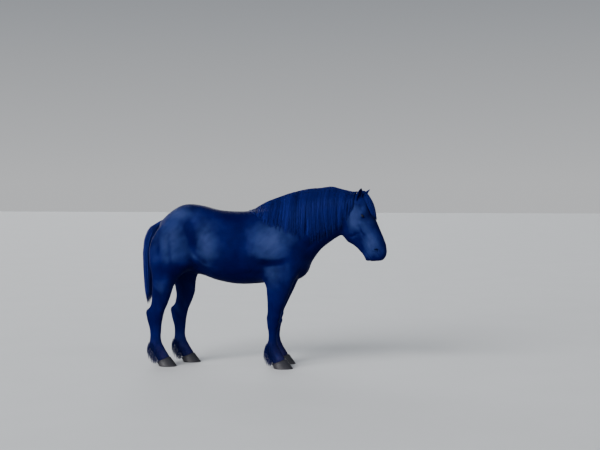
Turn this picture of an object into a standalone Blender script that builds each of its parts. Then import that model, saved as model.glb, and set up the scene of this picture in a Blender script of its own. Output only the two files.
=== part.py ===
"""A black cob stallion standing at rest, life size: flesh, eyes, hooves and long hair.

The flesh is modelled whole from tubes, whose ribs are given by their two ends in the side view
and a half width, then joined, smoothed and parted with thin cuts. +X is the way the horse faces
and +Z is up; at the end everything is set with its outline's middle over the origin.
"""

import math
from collections import namedtuple

import bmesh
import bpy
import numpy as np
from mathutils import Matrix, Vector
from mathutils.bvhtree import BVHTree

# Driving sizes, in metres and degrees.
GAP = 0.0005  # between pieces that meet
VOXEL = 0.010  # grain of the joined flesh before it is thinned
FLESH_FACES = 4100  # triangles left in the flesh after thinning
RIB_STEP = 0.02  # spacing of the ribs worked out between the named ones
HAIR_STEP = 0.07  # the same for the long hair
FAR_OUT = 2.0  # past the horse on any side

POLL = Vector((0.985, 0.0, 1.664))  # between the ears, before the neck is turned
FACE_SLOPE = 22.0  # of the face line from the vertical
NECK_TURN = -10.0  # towards the horse's right
HEAD_TURN = -8.0  # more of the same, at the poll
NECK_PIVOT = Vector((0.34, 0.0))  # where the neck turns, in plan
HEAD_PIVOT = Vector((0.852, -0.090))  # and where the head turns on it

FORE_TRACK = 0.165  # a foreleg's distance from the middle
HIND_TRACK = 0.155
LEFT_FORE_STEP = -0.022  # the left foreleg stands a little behind the right one
LEFT_HIND_STEP = 0.166  # and the left hind foot well ahead of the right one

EYE_RADIUS = 0.0215
EYE_ALONG, EYE_OUT, EYE_SIDE = 0.200, -0.056, 0.0885  # from the poll, the face line, the middle

EAR_LENGTH = 0.156
EAR_WIDTH = 0.037  # half, at the widest
EAR_WALL = 0.006
EAR_ALONG, EAR_OUT, EAR_SIDE = 0.058, -0.056, 0.058
EAR_SPREAD = {-1: 12.0, 1: 26.0}  # outward lean of the right and the left ear
EAR_FORWARD = 14.0
EAR_TWIST = 35.0  # the opening, from straight ahead to the side

# A hoof's top at toe and heel in the side view, its half width there and at the sole.
Hoof = namedtuple("Hoof", "toe heel top sole")
FORE_HOOF = Hoof((0.232, 0.094), (0.098, 0.046), 0.063, 0.076)
HIND_HOOF = Hoof((-0.902, 0.094), (-1.028, 0.046), 0.060, 0.072)
TOE_WALL = 54.0  # from the floor
HEEL_WALL = 68.0

FORE_CUT = 0.790  # height of the cut over the forelegs
HIND_CUT = 0.868  # and over the hind legs, at the middle
HIND_CUT_RISE = 0.42  # climb of that cut outwards
FLANK_CUT = -0.585  # its front
NECK_CUT = (Vector((0.02, 0.0, 1.60)), Vector((0.80, 0.0, 0.60)))  # a point, the way to the head
HEAD_CUT_TOP, HEAD_CUT_LOW = (0.000, -0.130), (0.300, -0.370)  # on the head, as its ribs

MANE_DEPTH = 0.030  # of the hair on the side of the neck
MANE_OVER = 0.045  # how far it reaches down the left side

COAT_COLOUR = (0.007, 0.009, 0.020, 1.0)
HAIR_COLOUR = (0.005, 0.007, 0.016, 1.0)
HOOF_COLOUR = (0.034, 0.030, 0.030, 1.0)
EYE_COLOUR = (0.012, 0.008, 0.006, 1.0)

# A rib's two ends in the side view, its half width, how pinched its two halves are (1 is an
# ellipse, more is sharper, less is boxier), where between the ends it is widest, and how far
# it stands to the left.
Rib = namedtuple("Rib", "near far half crown keel waist left", defaults=(1.0, 1.0, 0.5, 0.0))

TRUNK = (
    Rib((-1.050, 1.385), (-1.045, 1.200), 0.055),  # root of the dock
    Rib((-1.005, 1.425), (-1.030, 1.070), 0.150),
    Rib((-0.915, 1.500), (-0.935, 0.955), 0.222, 0.95),
    Rib((-0.780, 1.566), (-0.790, 0.890), 0.264, 0.88, 1.0, 0.54),  # croup
    Rib((-0.620, 1.553), (-0.620, 0.874), 0.278, 0.84, 1.0, 0.54),  # hips
    Rib((-0.460, 1.512), (-0.460, 0.823), 0.287, 0.86, 0.9, 0.50),  # loin
    Rib((-0.280, 1.494), (-0.270, 0.790), 0.304, 0.92, 0.9, 0.45),  # barrel
    Rib((-0.110, 1.506), (-0.090, 0.793), 0.300, 1.02, 0.9, 0.43),
    Rib((0.030, 1.540), (0.055, 0.808), 0.278, 1.25, 1.0, 0.43),  # withers and girth
    Rib((0.140, 1.545), (0.175, 0.818), 0.258, 1.30, 1.0, 0.45),
    Rib((0.240, 1.490), (0.280, 0.830), 0.242, 1.10, 1.0, 0.46),
    Rib((0.330, 1.370), (0.365, 0.850), 0.214),
    Rib((0.402, 1.230), (0.422, 0.900), 0.180),  # breast
    Rib((0.440, 1.120), (0.452, 0.985), 0.120),
)

NECK = (
    Rib((-0.080, 1.445), (0.120, 1.000), 0.150),
    Rib((0.060, 1.550), (0.362, 0.915), 0.208, 1.35, 0.95, 0.42),  # against the shoulders
    Rib((0.200, 1.612), (0.470, 1.012), 0.182, 1.35, 0.90, 0.42),
    Rib((0.345, 1.662), (0.538, 1.104), 0.152, 1.30, 0.90, 0.42),
    Rib((0.490, 1.690), (0.616, 1.174), 0.130, 1.25, 0.90, 0.44),  # crest
    Rib((0.640, 1.702), (0.688, 1.226), 0.115, 1.20, 0.95, 0.46),
    Rib((0.790, 1.682), (0.758, 1.270), 0.106, 1.10, 1.00, 0.50),  # throat
    Rib((0.905, 1.654), (0.845, 1.330), 0.090, 1.00, 1.00, 0.50),
)

# Ribs of the head, their ends given along the head from the poll and out from the face line.
HEAD = (
    Rib((-0.030, -0.045), (-0.030, -0.120), 0.045),
    Rib((0.000, -0.012), (0.000, -0.175), 0.068, 0.90, 1.00, 0.55),  # poll
    Rib((0.055, 0.006), (0.060, -0.260), 0.089, 0.80, 1.10, 0.64),
    Rib((0.120, 0.010), (0.130, -0.318), 0.104, 0.72, 1.15, 0.70),  # forehead
    Rib((0.185, 0.010), (0.205, -0.348), 0.113, 0.70, 1.20, 0.73),  # eyes and jowl
    Rib((0.250, 0.016), (0.280, -0.356), 0.106, 0.72, 1.15, 0.70),
    Rib((0.320, 0.023), (0.350, -0.338), 0.091, 0.78, 1.05, 0.66),  # end of the cheek
    Rib((0.390, 0.029), (0.412, -0.300), 0.078, 0.82, 1.00, 0.60),
    Rib((0.455, 0.033), (0.466, -0.261), 0.070, 0.82, 0.95, 0.56),
    Rib((0.524, 0.031), (0.514, -0.233), 0.071, 0.80, 0.85, 0.53),  # nostrils
    Rib((0.582, 0.014), (0.556, -0.221), 0.073, 0.80, 0.80, 0.50),  # lips
    Rib((0.630, -0.016), (0.592, -0.209), 0.067, 0.84, 0.84, 0.50),
    Rib((0.655, -0.060), (0.612, -0.184), 0.046, 1.00, 0.90, 0.50),
)

FORELEG = (
    Rib((0.130, 1.430), (-0.020, 1.370), 0.050, left=0.050),
    Rib((0.245, 1.340), (-0.030, 1.220), 0.080, left=0.012),  # shoulder blade
    Rib((0.365, 1.180), (-0.005, 1.070), 0.096, 1.1, 1.1),
    Rib((0.402, 1.030), (-0.030, 0.965), 0.096, 1.1, 1.1, left=-0.004),  # point of the shoulder
    Rib((0.356, 0.900), (-0.014, 0.880), 0.092, 0.95, 0.95, left=-0.004),  # elbow
    Rib((0.296, 0.795), (0.033, 0.785), 0.084, 0.9, 0.9),
    Rib((0.258, 0.700), (0.043, 0.695), 0.072, 0.9, 0.9),  # forearm
    Rib((0.219, 0.600), (0.049, 0.600), 0.059, 0.9, 0.9),
    Rib((0.188, 0.525), (0.049, 0.525), 0.052, 0.85, 0.9),
    Rib((0.176, 0.470), (0.050, 0.470), 0.056, 0.72, 0.85),  # knee
    Rib((0.170, 0.420), (0.044, 0.428), 0.056, 0.72, 0.85),
    Rib((0.158, 0.370), (0.052, 0.372), 0.048, 0.85, 1.0),
    Rib((0.151, 0.318), (0.058, 0.318), 0.041),  # cannon
    Rib((0.149, 0.268), (0.053, 0.264), 0.042),
    Rib((0.156, 0.234), (0.038, 0.218), 0.049),  # fetlock
    Rib((0.167, 0.206), (0.033, 0.180), 0.051),
    Rib((0.182, 0.175), (0.048, 0.141), 0.048),  # pastern
    Rib((0.200, 0.146), (0.068, 0.105), 0.048),
    Rib((0.216, 0.118), (0.086, 0.072), 0.054),
    Rib((0.228, 0.096), (0.098, 0.050), 0.060),  # top of the hoof
    Rib((0.234, 0.078), (0.104, 0.032), 0.061),
)

HINDLEG = (
    Rib((-0.660, 1.420), (-0.930, 1.430), 0.070, left=0.030),
    Rib((-0.570, 1.270), (-1.050, 1.295), 0.116, 1.2, 1.0, 0.45),  # hip
    Rib((-0.560, 1.120), (-1.106, 1.165), 0.130, 1.3, 1.0, 0.42, -0.006),
    Rib((-0.618, 1.000), (-1.112, 1.045), 0.131, 1.2, 1.0, 0.45, -0.006),  # stifle
    Rib((-0.716, 0.925), (-1.100, 0.950), 0.118, 1.0, 1.0, 0.50, -0.004),
    Rib((-0.806, 0.855), (-1.086, 0.870), 0.103),
    Rib((-0.860, 0.770), (-1.080, 0.792), 0.088),  # gaskin
    Rib((-0.884, 0.697), (-1.084, 0.712), 0.075),
    Rib((-0.909, 0.627), (-1.086, 0.644), 0.063, 0.9, 1.05),
    Rib((-0.938, 0.555), (-1.099, 0.580), 0.057, 0.8, 1.1),
    Rib((-0.963, 0.484), (-1.139, 0.522), 0.057, 0.8, 1.0),  # point of the hock
    Rib((-0.976, 0.414), (-1.132, 0.446), 0.052, 0.9, 1.0),
    Rib((-0.982, 0.352), (-1.110, 0.366), 0.046),  # cannon
    Rib((-0.986, 0.302), (-1.102, 0.300), 0.044),
    Rib((-0.985, 0.256), (-1.107, 0.246), 0.047),
    Rib((-0.976, 0.224), (-1.112, 0.206), 0.050),  # fetlock
    Rib((-0.961, 0.195), (-1.104, 0.170), 0.050),
    Rib((-0.944, 0.165), (-1.080, 0.133), 0.047),  # pastern
    Rib((-0.927, 0.138), (-1.056, 0.100), 0.047),
    Rib((-0.913, 0.114), (-1.038, 0.070), 0.052),
    Rib((-0.903, 0.096), (-1.026, 0.050), 0.057),  # top of the hoof
    Rib((-0.897, 0.078), (-1.020, 0.032), 0.058),
)

TAIL = (
    Rib((-0.985, 1.428), (-1.020, 1.360), 0.024),  # inside the root of the dock
    Rib((-1.050, 1.402), (-1.050, 1.310), 0.038),
    Rib((-1.132, 1.352), (-1.058, 1.262), 0.052),
    Rib((-1.184, 1.264), (-1.072, 1.200), 0.066),
    Rib((-1.202, 1.142), (-1.084, 1.115), 0.080),
    Rib((-1.202, 1.000), (-1.090, 0.990), 0.087),
    Rib((-1.198, 0.850), (-1.094, 0.850), 0.086),
    Rib((-1.190, 0.720), (-1.098, 0.725), 0.076),
    Rib((-1.178, 0.620), (-1.108, 0.628), 0.058),
    Rib((-1.168, 0.570), (-1.122, 0.575), 0.036),  # ends of the hair
)

FORELOCK = (
    Rib((-0.052, -0.010), (-0.040, -0.060), 0.020),
    Rib((-0.020, 0.020), (-0.020, -0.040), 0.024),
    Rib((0.040, 0.042), (0.040, -0.030), 0.031),
    Rib((0.110, 0.052), (0.110, -0.020), 0.050),
    Rib((0.180, 0.048), (0.180, -0.016), 0.049),
    Rib((0.240, 0.038), (0.240, -0.010), 0.034),
    Rib((0.292, 0.030), (0.292, -0.002), 0.014),
)

# Up the neck from the withers: how far along, the height of the crest, how far the mane hangs
# and how high it stands over the crest.
MANE = (
    (-0.110, 1.502, 0.030, 0.006),
    (-0.050, 1.522, 0.120, 0.025),
    (0.020, 1.547, 0.190, 0.038),
    (0.100, 1.578, 0.270, 0.037),
    (0.230, 1.628, 0.385, 0.034),
    (0.330, 1.655, 0.465, 0.034),
    (0.440, 1.680, 0.520, 0.034),
    (0.550, 1.692, 0.520, 0.038),
    (0.660, 1.694, 0.460, 0.040),
    (0.760, 1.680, 0.370, 0.026),
    (0.850, 1.660, 0.280, 0.022),
    (0.910, 1.650, 0.200, 0.022),
)


def new_object(name, mesh):
    data = bpy.data.meshes.new(name)
    mesh.to_mesh(data)
    mesh.free()
    made = bpy.data.objects.new(name, data)
    bpy.context.collection.objects.link(made)
    return made


def copied(obj, name):
    made = obj.copy()
    made.data = obj.data.copy()
    made.name = name
    bpy.context.collection.objects.link(made)
    return made


def finished(obj):
    """The object's mesh with its modifiers applied, in place of the modifiers."""
    graph = bpy.context.evaluated_depsgraph_get()
    data = bpy.data.meshes.new_from_object(obj.evaluated_get(graph))
    obj.modifiers.clear()
    obj.data = data
    return obj


def coordinates(obj):
    points = np.empty(len(obj.data.vertices) * 3)
    obj.data.vertices.foreach_get("co", points)
    return points.reshape(-1, 3)


def moved(obj, change):
    """The object with its points passed through a function."""
    obj.data.vertices.foreach_set("co", change(coordinates(obj)).ravel())
    obj.data.update()
    return obj


def ease(value, start, end):
    """0 before the start, 1 past the end, and a soft climb between."""
    share = np.clip((value - start) / (end - start), 0, 1)
    return share * share * (3 - 2 * share)


def spread_ribs(ribs, step):
    """The ribs as rows of numbers, with more worked out between them on a smooth curve."""
    rows = np.array([[*rib.near, *rib.far, *rib[2:]] for rib in ribs])
    before = np.vstack([2 * rows[0] - rows[1], rows[:-1]])
    after = np.vstack([rows[1:], 2 * rows[-1] - rows[-2]])
    slope = (after - before) / 2
    made = []
    for i in range(len(rows) - 1):
        travel = np.abs(rows[i + 1, :4] - rows[i, :4]).reshape(2, 2)
        count = max(1, math.ceil(np.hypot(*travel.T).max() / step))
        t = np.arange(count)[:, None] / count
        made.append(
            (2 * t**3 - 3 * t**2 + 1) * rows[i]
            + (t**3 - 2 * t**2 + t) * slope[i]
            + (3 * t**2 - 2 * t**3) * rows[i + 1]
            + (t**3 - t**2) * slope[i + 1]
        )
    return np.vstack([*made, rows[-1:]])


def rib_points(row, around):
    """Points round one rib: along the line between its ends by the sine, across by the cosine."""
    near = np.array([row[0], 0.0, row[1]])
    far = np.array([row[2], 0.0, row[3]])
    half, crown, keel, waist, left = row[4:9]
    angle = np.linspace(0, 2 * math.pi, around, endpoint=False)
    rise, side = np.sin(angle), np.cos(angle)
    middle = far + waist * (near - far)
    towards = np.where(rise[:, None] > 0, near - middle, middle - far)
    points = middle + towards * rise[:, None]
    pinch = np.where(rise > 0, crown, keel)
    points[:, 1] = left + half * np.sign(side) * np.abs(side) ** pinch
    return points


def skin_over(name, rings):
    """A closed surface over rings of equal length."""
    mesh = bmesh.new()
    made = [[mesh.verts.new(point) for point in ring] for ring in rings]
    count = len(made[0])
    for first, second in zip(made, made[1:]):
        for i in range(count):
            j = (i + 1) % count
            mesh.faces.new((first[i], first[j], second[j], second[i]))
    mesh.faces.new(made[0])
    mesh.faces.new(reversed(made[-1]))
    bmesh.ops.recalc_face_normals(mesh, faces=mesh.faces)
    return new_object(name, mesh)


def tube(name, ribs, around, step=RIB_STEP):
    return skin_over(name, [rib_points(row, around) for row in spread_ribs(ribs, step)])


def plan_turn(points, pivot, degrees, share):
    """Points turned about an upright line, each by its share of the angle."""
    angle = math.radians(degrees) * share
    dx, dy = points[:, 0] - pivot.x, points[:, 1] - pivot.y
    made = points.copy()
    made[:, 0] = pivot.x + dx * np.cos(angle) - dy * np.sin(angle)
    made[:, 1] = pivot.y + dx * np.sin(angle) + dy * np.cos(angle)
    return made


def turned(points):
    """Turns neck and head to the horse's right: gently along the neck, then at the poll."""
    up_neck = (points[:, 0] - NECK_PIVOT.x) * 0.85 + (points[:, 2] - 1.25) * 0.5
    made = plan_turn(points, NECK_PIVOT, NECK_TURN, ease(up_neck, -0.02, 0.50))
    return plan_turn(made, HEAD_PIVOT, HEAD_TURN, ease(points[:, 0], 0.79, 0.93))


def on_head(along, out, side=0.0):
    """A place given along the head, out from the face line and to the left."""
    slope = math.radians(FACE_SLOPE)
    x = POLL.x + along * math.sin(slope) + out * math.cos(slope)
    z = POLL.z - along * math.cos(slope) + out * math.sin(slope)
    return Vector((x, side, z))


def head_ribs(ribs):
    for rib in ribs:
        near, far = on_head(*rib.near), on_head(*rib.far)
        yield rib._replace(near=(near.x, near.z), far=(far.x, far.z))


def turned_place(place):
    return Vector(turned(np.array([place]))[0])


def set_out(points, side, track):
    """Points of a right leg, drawn on the middle line, moved out to either side."""
    made = points.copy()
    made[:, 1] = side * (track - points[:, 1])
    return made


def fore_stance(points, side):
    made = set_out(points, side, FORE_TRACK)
    if side > 0:
        made[:, 0] += LEFT_FORE_STEP * ease(-points[:, 2], -0.92, -0.46)
    return made


def hind_stance(points, side):
    made = set_out(points, side, HIND_TRACK)
    if side > 0:
        made[:, 0] += LEFT_HIND_STEP * ease(-points[:, 2], -1.16, -0.66)
    return made


def joined(name, objects):
    mesh = bmesh.new()
    for obj in objects:
        mesh.from_mesh(obj.data)
        bpy.data.objects.remove(obj)
    return new_object(name, mesh)


def softness(points):
    """How much the creases are smoothed: most on the body, little on legs and head."""
    body = ease(points[:, 2], 0.72, 0.98) * ease(-points[:, 0], -0.86, -0.62)
    return 0.10 + 0.90 * body


def smoothed(obj, rounds):
    """Each point moved towards the mean of its neighbours, again and again."""
    edges = np.empty(len(obj.data.edges) * 2, dtype=np.int64)
    obj.data.edges.foreach_get("vertices", edges)
    one, other = edges.reshape(-1, 2).T
    count = len(obj.data.vertices)
    meeting = np.bincount(np.concatenate([one, other]), minlength=count)[:, None]

    def relax(points):
        weight = 0.5 * softness(points)[:, None]
        for _ in range(rounds):
            total = np.empty_like(points)
            for axis in range(3):
                total[:, axis] = np.bincount(one, points[other, axis], count)
                total[:, axis] += np.bincount(other, points[one, axis], count)
            points = points + weight * (total / meeting - points)
        return points

    return moved(obj, relax)


def whole_flesh():
    """Overlapping tubes made one skin, with the creases between them smoothed."""
    tubes = [
        tube("trunk_tube", TRUNK, 48),
        moved(tube("neck_tube", NECK, 40), turned),
        moved(tube("head_tube", tuple(head_ribs(HEAD)), 40), turned),
    ]
    for side in (-1, 1):
        tubes.append(moved(tube("fore_tube", FORELEG, 32), lambda p: fore_stance(p, side)))
        tubes.append(moved(tube("hind_tube", HINDLEG, 32), lambda p: hind_stance(p, side)))
    flesh = joined("flesh", tubes)
    remesh = flesh.modifiers.new("melt", "REMESH")
    remesh.mode = "VOXEL"
    remesh.voxel_size = VOXEL
    return smoothed(finished(flesh), 60)


def thinned(obj, faces):
    """The surface with far fewer triangles, the head keeping more of its own."""
    head = obj.vertex_groups.new(name="head")
    for index, (x, _, z) in enumerate(coordinates(obj)):
        if x > HEAD_PIVOT.x and z > 0.9:
            head.add([index], 0.5, "REPLACE")
    thin = obj.modifiers.new("thin", "DECIMATE")
    thin.ratio = faces / sum(len(face.vertices) - 2 for face in obj.data.polygons)
    thin.vertex_group = "head"
    thin.invert_vertex_group = True
    thin.vertex_group_factor = 0.008
    finished(obj)
    obj.vertex_groups.clear()
    return obj


def cell(name, planes, shift):
    """A great block kept only behind some planes, each a point and the way out, all shifted."""
    mesh = bmesh.new()
    bmesh.ops.create_cube(mesh, size=2 * FAR_OUT)
    for point, way in planes:
        way = way.normalized()
        geometry = mesh.verts[:] + mesh.edges[:] + mesh.faces[:]
        cut = bmesh.ops.bisect_plane(
            mesh, geom=geometry, plane_co=point + way * shift, plane_no=way, clear_outer=True
        )
        edges = [item for item in cut["geom_cut"] if isinstance(item, bmesh.types.BMEdge)]
        bmesh.ops.contextual_create(mesh, geom=edges)
    bmesh.ops.recalc_face_normals(mesh, faces=mesh.faces)
    return new_object(name, mesh)


def combined(obj, cutter, operation, keep_cutter=False):
    boolean = obj.modifiers.new("cut", "BOOLEAN")
    boolean.solver = "EXACT"
    boolean.operation = operation
    boolean.object = cutter
    finished(obj)
    if not keep_cutter:
        bpy.data.objects.remove(cutter)
    return obj


def grown(obj):
    """A copy swollen by the gap, to cut its neighbours with."""
    made = copied(obj, f"{obj.name}_grown")
    swell = made.modifiers.new("swell", "DISPLACE")
    swell.mid_level = 0.0
    swell.strength = GAP
    return finished(made)


def main_body(obj):
    """The object without any crumbs a cut has left beside its largest piece."""
    mesh = bmesh.new()
    mesh.from_mesh(obj.data)
    unseen = set(mesh.verts)
    pieces = []
    while unseen:
        front = [unseen.pop()]
        piece = list(front)
        while front:
            for edge in front.pop().link_edges:
                for vert in edge.verts:
                    if vert in unseen:
                        unseen.remove(vert)
                        front.append(vert)
                        piece.append(vert)
        pieces.append(piece)
    pieces.sort(key=len)
    for piece in pieces[:-1]:
        bmesh.ops.delete(mesh, geom=piece, context="VERTS")
    bmesh.ops.triangulate(mesh, faces=mesh.faces)
    mesh.to_mesh(obj.data)
    mesh.free()
    return obj


def hoof_top(hoof, step):
    """The plane between a leg and its hoof: a point and the way down."""
    toe = Vector((hoof.toe[0] + step, 0.0, hoof.toe[1]))
    heel = Vector((hoof.heel[0] + step, 0.0, hoof.heel[1]))
    return toe, Vector((0.0, 1.0, 0.0)).cross(toe - heel)


def leg_planes(kind, side):
    """The planes round a leg, and the one over its hoof."""
    inner = (Vector(), Vector((0.0, -side, 0.0)))
    flank = Vector((FLANK_CUT, 0.0, 0.0))
    if kind == "foreleg":
        top = (Vector((0.0, 0.0, FORE_CUT)), Vector((0.0, 0.0, 1.0)))
        behind = (flank, Vector((-1.0, 0.0, 0.0)))
        return [inner, top, behind], hoof_top(FORE_HOOF, LEFT_FORE_STEP * (side > 0))
    top = (Vector((0.0, 0.0, HIND_CUT)), Vector((0.0, -side * HIND_CUT_RISE, 1.0)))
    ahead = (flank, Vector((1.0, 0.0, 0.0)))
    return [inner, top, ahead], hoof_top(HIND_HOOF, LEFT_HIND_STEP * (side > 0))


def head_cut():
    """The plane behind the ears and the jowl: a point and the way to the neck."""
    top, low = turned_place(on_head(*HEAD_CUT_TOP)), turned_place(on_head(*HEAD_CUT_LOW))
    beside = turned_place(on_head(*HEAD_CUT_TOP, side=0.1))
    return top, (beside - top).cross(low - top)


def parted(flesh):
    """The flesh cut into the named parts of the horse."""
    behind_head, to_neck = head_cut()
    before_trunk, to_head = NECK_CUT
    cells = {
        "head": [(behind_head, to_neck)],
        "neck": [(behind_head, -to_neck), (before_trunk, -to_head)],
        "trunk": [(before_trunk, to_head)],
    }
    blocks = []
    for side, name in ((-1, "right"), (1, "left")):
        for kind in ("foreleg", "hindleg"):
            planes, over_hoof = leg_planes(kind, side)
            cells[f"{kind}_{name}"] = [*planes, over_hoof]
            blocks.append(cell("block", planes, GAP / 2))
    made = {}
    for name, planes in cells.items():
        made[name] = combined(copied(flesh, name), cell("cell", planes, -GAP / 2), "INTERSECT")
    for block in blocks:
        combined(made["trunk"], block, "DIFFERENCE")
    return made


def eye(side):
    mesh = bmesh.new()
    bmesh.ops.create_icosphere(mesh, subdivisions=3, radius=EYE_RADIUS)
    place = turned_place(on_head(EYE_ALONG, EYE_OUT, side * EYE_SIDE))
    bmesh.ops.translate(mesh, verts=mesh.verts, vec=place)
    return new_object("eye_left" if side > 0 else "eye_right", mesh)


def ear(side):
    """A cupped leaf: rings of an outer arc and an inner one, from the root to the tip."""
    around = np.radians(np.linspace(-118, 118, 9))
    rings = []
    for t in np.linspace(0, 1, 8):
        half = EAR_WIDTH * (0.70 + 1.35 * t - 1.05 * t * t) * math.sqrt(1.02 - t)
        inner = max(half - EAR_WALL, 0.3 * half)
        bend = 0.016 * math.sin(math.pi * t) - 0.010 * t
        ring = [(-h * 0.8 * np.cos(a) - bend, h * np.sin(a)) for h, a in (
            [(half, a) for a in around] + [(inner, a) for a in around[::-1]]
        )]
        rings.append(np.array([(x, y, EAR_LENGTH * t - 0.02) for x, y in ring]))
    twist = Matrix.Rotation(math.radians(side * EAR_TWIST), 3, "Z")
    lean = Matrix.Rotation(math.radians(-side * EAR_SPREAD[side]), 3, "X")
    forward = Matrix.Rotation(math.radians(EAR_FORWARD), 3, "Y")
    turn = np.array(forward @ lean @ twist)
    root = np.array(on_head(EAR_ALONG, EAR_OUT, side * EAR_SIDE))
    name = "ear_left" if side > 0 else "ear_right"
    return moved(skin_over(name, [ring @ turn.T + root for ring in rings]), turned)


def hoof(name, shape, side, track, step):
    """A hoof from the sloping ring under the hair to the flat sole."""
    toe = shape.toe[0] + shape.toe[1] / math.tan(math.radians(TOE_WALL))
    heel = shape.heel[0] + shape.heel[1] / math.tan(math.radians(HEEL_WALL))
    around = np.linspace(0, 2 * math.pi, 28, endpoint=False)
    ahead = np.cos(around)
    outline = np.sign(np.sin(around)) * np.abs(np.sin(around)) ** 0.9 * (1 - 0.08 * ahead)
    share = (ahead + 1) / 2
    top = np.stack([
        shape.heel[0] + share * (shape.toe[0] - shape.heel[0]),
        outline * shape.top,
        shape.heel[1] + share * (shape.toe[1] - shape.heel[1]),
    ], axis=1)
    sole = np.stack([heel + share * (toe - heel), outline * shape.sole, np.zeros(28)], axis=1)
    rings = [sole * (1 - t) + top * t for t in (0.0, 0.12, 1.0)]
    rings[0][:, :2] = sole[:, :2] + (sole[:, :2].mean(axis=0) - sole[:, :2]) * 0.02
    centre = np.array([step, side * track, 0.0])
    return skin_over(name, [ring + centre for ring in rings])


def across(x, crest):
    """A place on the crest of the turned neck, and the way to the right from there."""
    middle = turned_place(Vector((x, 0.0, crest)))
    return middle, (turned_place(Vector((x, -0.01, crest))) - middle).normalized()


def forelock():
    """Hair over the forehead, begun just ahead of the mane."""
    hair = moved(tube("forelock", tuple(head_ribs(FORELOCK)), 16, HAIR_STEP), turned)
    middle, right = across(*MANE[-1][:2])
    back = right.cross(Vector((0.0, 0.0, 1.0)))
    return combined(hair, cell("ahead_of_mane", [(middle, back)], -GAP), "INTERSECT")


def mane(skin):
    """Hair over the crest and down the right side, hanging straight from the widest place."""
    rings = []
    rows = np.array(MANE)
    for x in np.linspace(rows[0, 0], rows[-1, 0], 17):
        crest, hang, rise = (np.interp(x, rows[:, 0], column) for column in rows[:, 1:].T)
        middle, right = across(x, crest)

        def reach(height, way):
            start = Vector((middle.x, middle.y, height)) + way
            hit = skin.ray_cast(start, -way)[0]
            return (hit - middle).xy.length if hit else 0.0

        top = skin.ray_cast(Vector((middle.x, middle.y, FAR_OUT)), Vector((0, 0, -1)))[0].z
        drops = np.linspace(0.12, 1.0, 7)
        body = np.array([reach(top - hang * drop, right) for drop in drops])
        hung = np.maximum.accumulate(body)
        depth = np.minimum(rise, MANE_DEPTH) * np.sqrt(1.08 - drops)
        low_left = top - MANE_OVER
        left = reach(low_left, -right)
        outer = [(-left - 0.3 * rise, low_left), (-0.7 * left, top - 0.004)]
        outer += [(-0.01, top + rise), (0.4 * body[0], top + 0.65 * rise)]
        outer += list(zip(hung + depth, top - hang * drops))
        under = np.maximum(body - 0.015, hung - 0.012)
        inner = list(zip(under[::-1], top - 0.012 - hang * drops[::-1]))
        inner += [(0.0, top - 0.05), (-left + 0.015, low_left - 0.005)]
        rings.append(np.array([
            (middle.x + right.x * out, middle.y + right.y * out, height)
            for out, height in outer + inner
        ]))
    return skin_over("mane", rings)


def shown(obj, colour, roughness):
    """Gives the object its material and shading."""
    material = bpy.data.materials.new(obj.name)
    material.use_nodes = True
    shader = material.node_tree.nodes["Principled BSDF"]
    shader.inputs["Base Color"].default_value = colour
    shader.inputs["Roughness"].default_value = roughness
    shader.inputs["Metallic"].default_value = 0.0
    obj.data.materials.clear()
    obj.data.materials.append(material)
    obj.data.shade_smooth()
    obj.data.set_sharp_from_angle(angle=math.radians(50))


def clear_scene():
    for obj in list(bpy.data.objects):
        bpy.data.objects.remove(obj)


def centred(objects):
    """Moves everything so that the middle of the whole outline is over the origin."""
    points = np.vstack([coordinates(obj) for obj in objects])
    middle = (points.min(axis=0) + points.max(axis=0)) / 2
    middle[2] = points[:, 2].min()
    for obj in objects:
        moved(obj, lambda p: p - middle)


def main():
    clear_scene()
    flesh = thinned(whole_flesh(), FLESH_FACES)
    skin = BVHTree.FromObject(flesh, bpy.context.evaluated_depsgraph_get())
    parts = parted(flesh)
    swollen = grown(flesh)
    bpy.data.objects.remove(flesh)

    eyes = [eye(side) for side in (-1, 1)]
    for ball in eyes:
        combined(parts["head"], grown(ball), "DIFFERENCE")
    hooves = []
    for side, name in ((-1, "right"), (1, "left")):
        fore_step = LEFT_FORE_STEP if side > 0 else 0.0
        hind_step = LEFT_HIND_STEP if side > 0 else 0.0
        hooves.append(hoof(f"fore_hoof_{name}", FORE_HOOF, side, FORE_TRACK, fore_step))
        hooves.append(hoof(f"hind_hoof_{name}", HIND_HOOF, side, HIND_TRACK, hind_step))

    ears = [combined(ear(side), swollen, "DIFFERENCE", keep_cutter=True) for side in (-1, 1)]
    hair = [
        mane(skin),
        forelock(),
        tube("tail", TAIL, 16, HAIR_STEP),
    ]
    for lock in hair:
        combined(lock, swollen, "DIFFERENCE", keep_cutter=True)
    for pinna in ears:
        combined(hair[0], grown(pinna), "DIFFERENCE")
    bpy.data.objects.remove(swollen)

    flesh_parts = list(parts.values())
    for obj in (*flesh_parts, *ears, *hair):
        main_body(obj)
    for obj in (*flesh_parts, *ears):
        shown(obj, COAT_COLOUR, 0.42)
    for obj in hair:
        shown(obj, HAIR_COLOUR, 0.55)
    for obj in hooves:
        shown(obj, HOOF_COLOUR, 0.6)
    for obj in eyes:
        shown(obj, EYE_COLOUR, 0.08)
    centred([*flesh_parts, *ears, *hair, *hooves, *eyes])


main()
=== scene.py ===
import math

import bmesh
import bpy
import numpy as np
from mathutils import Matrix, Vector
from mathutils.bvhtree import BVHTree

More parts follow.
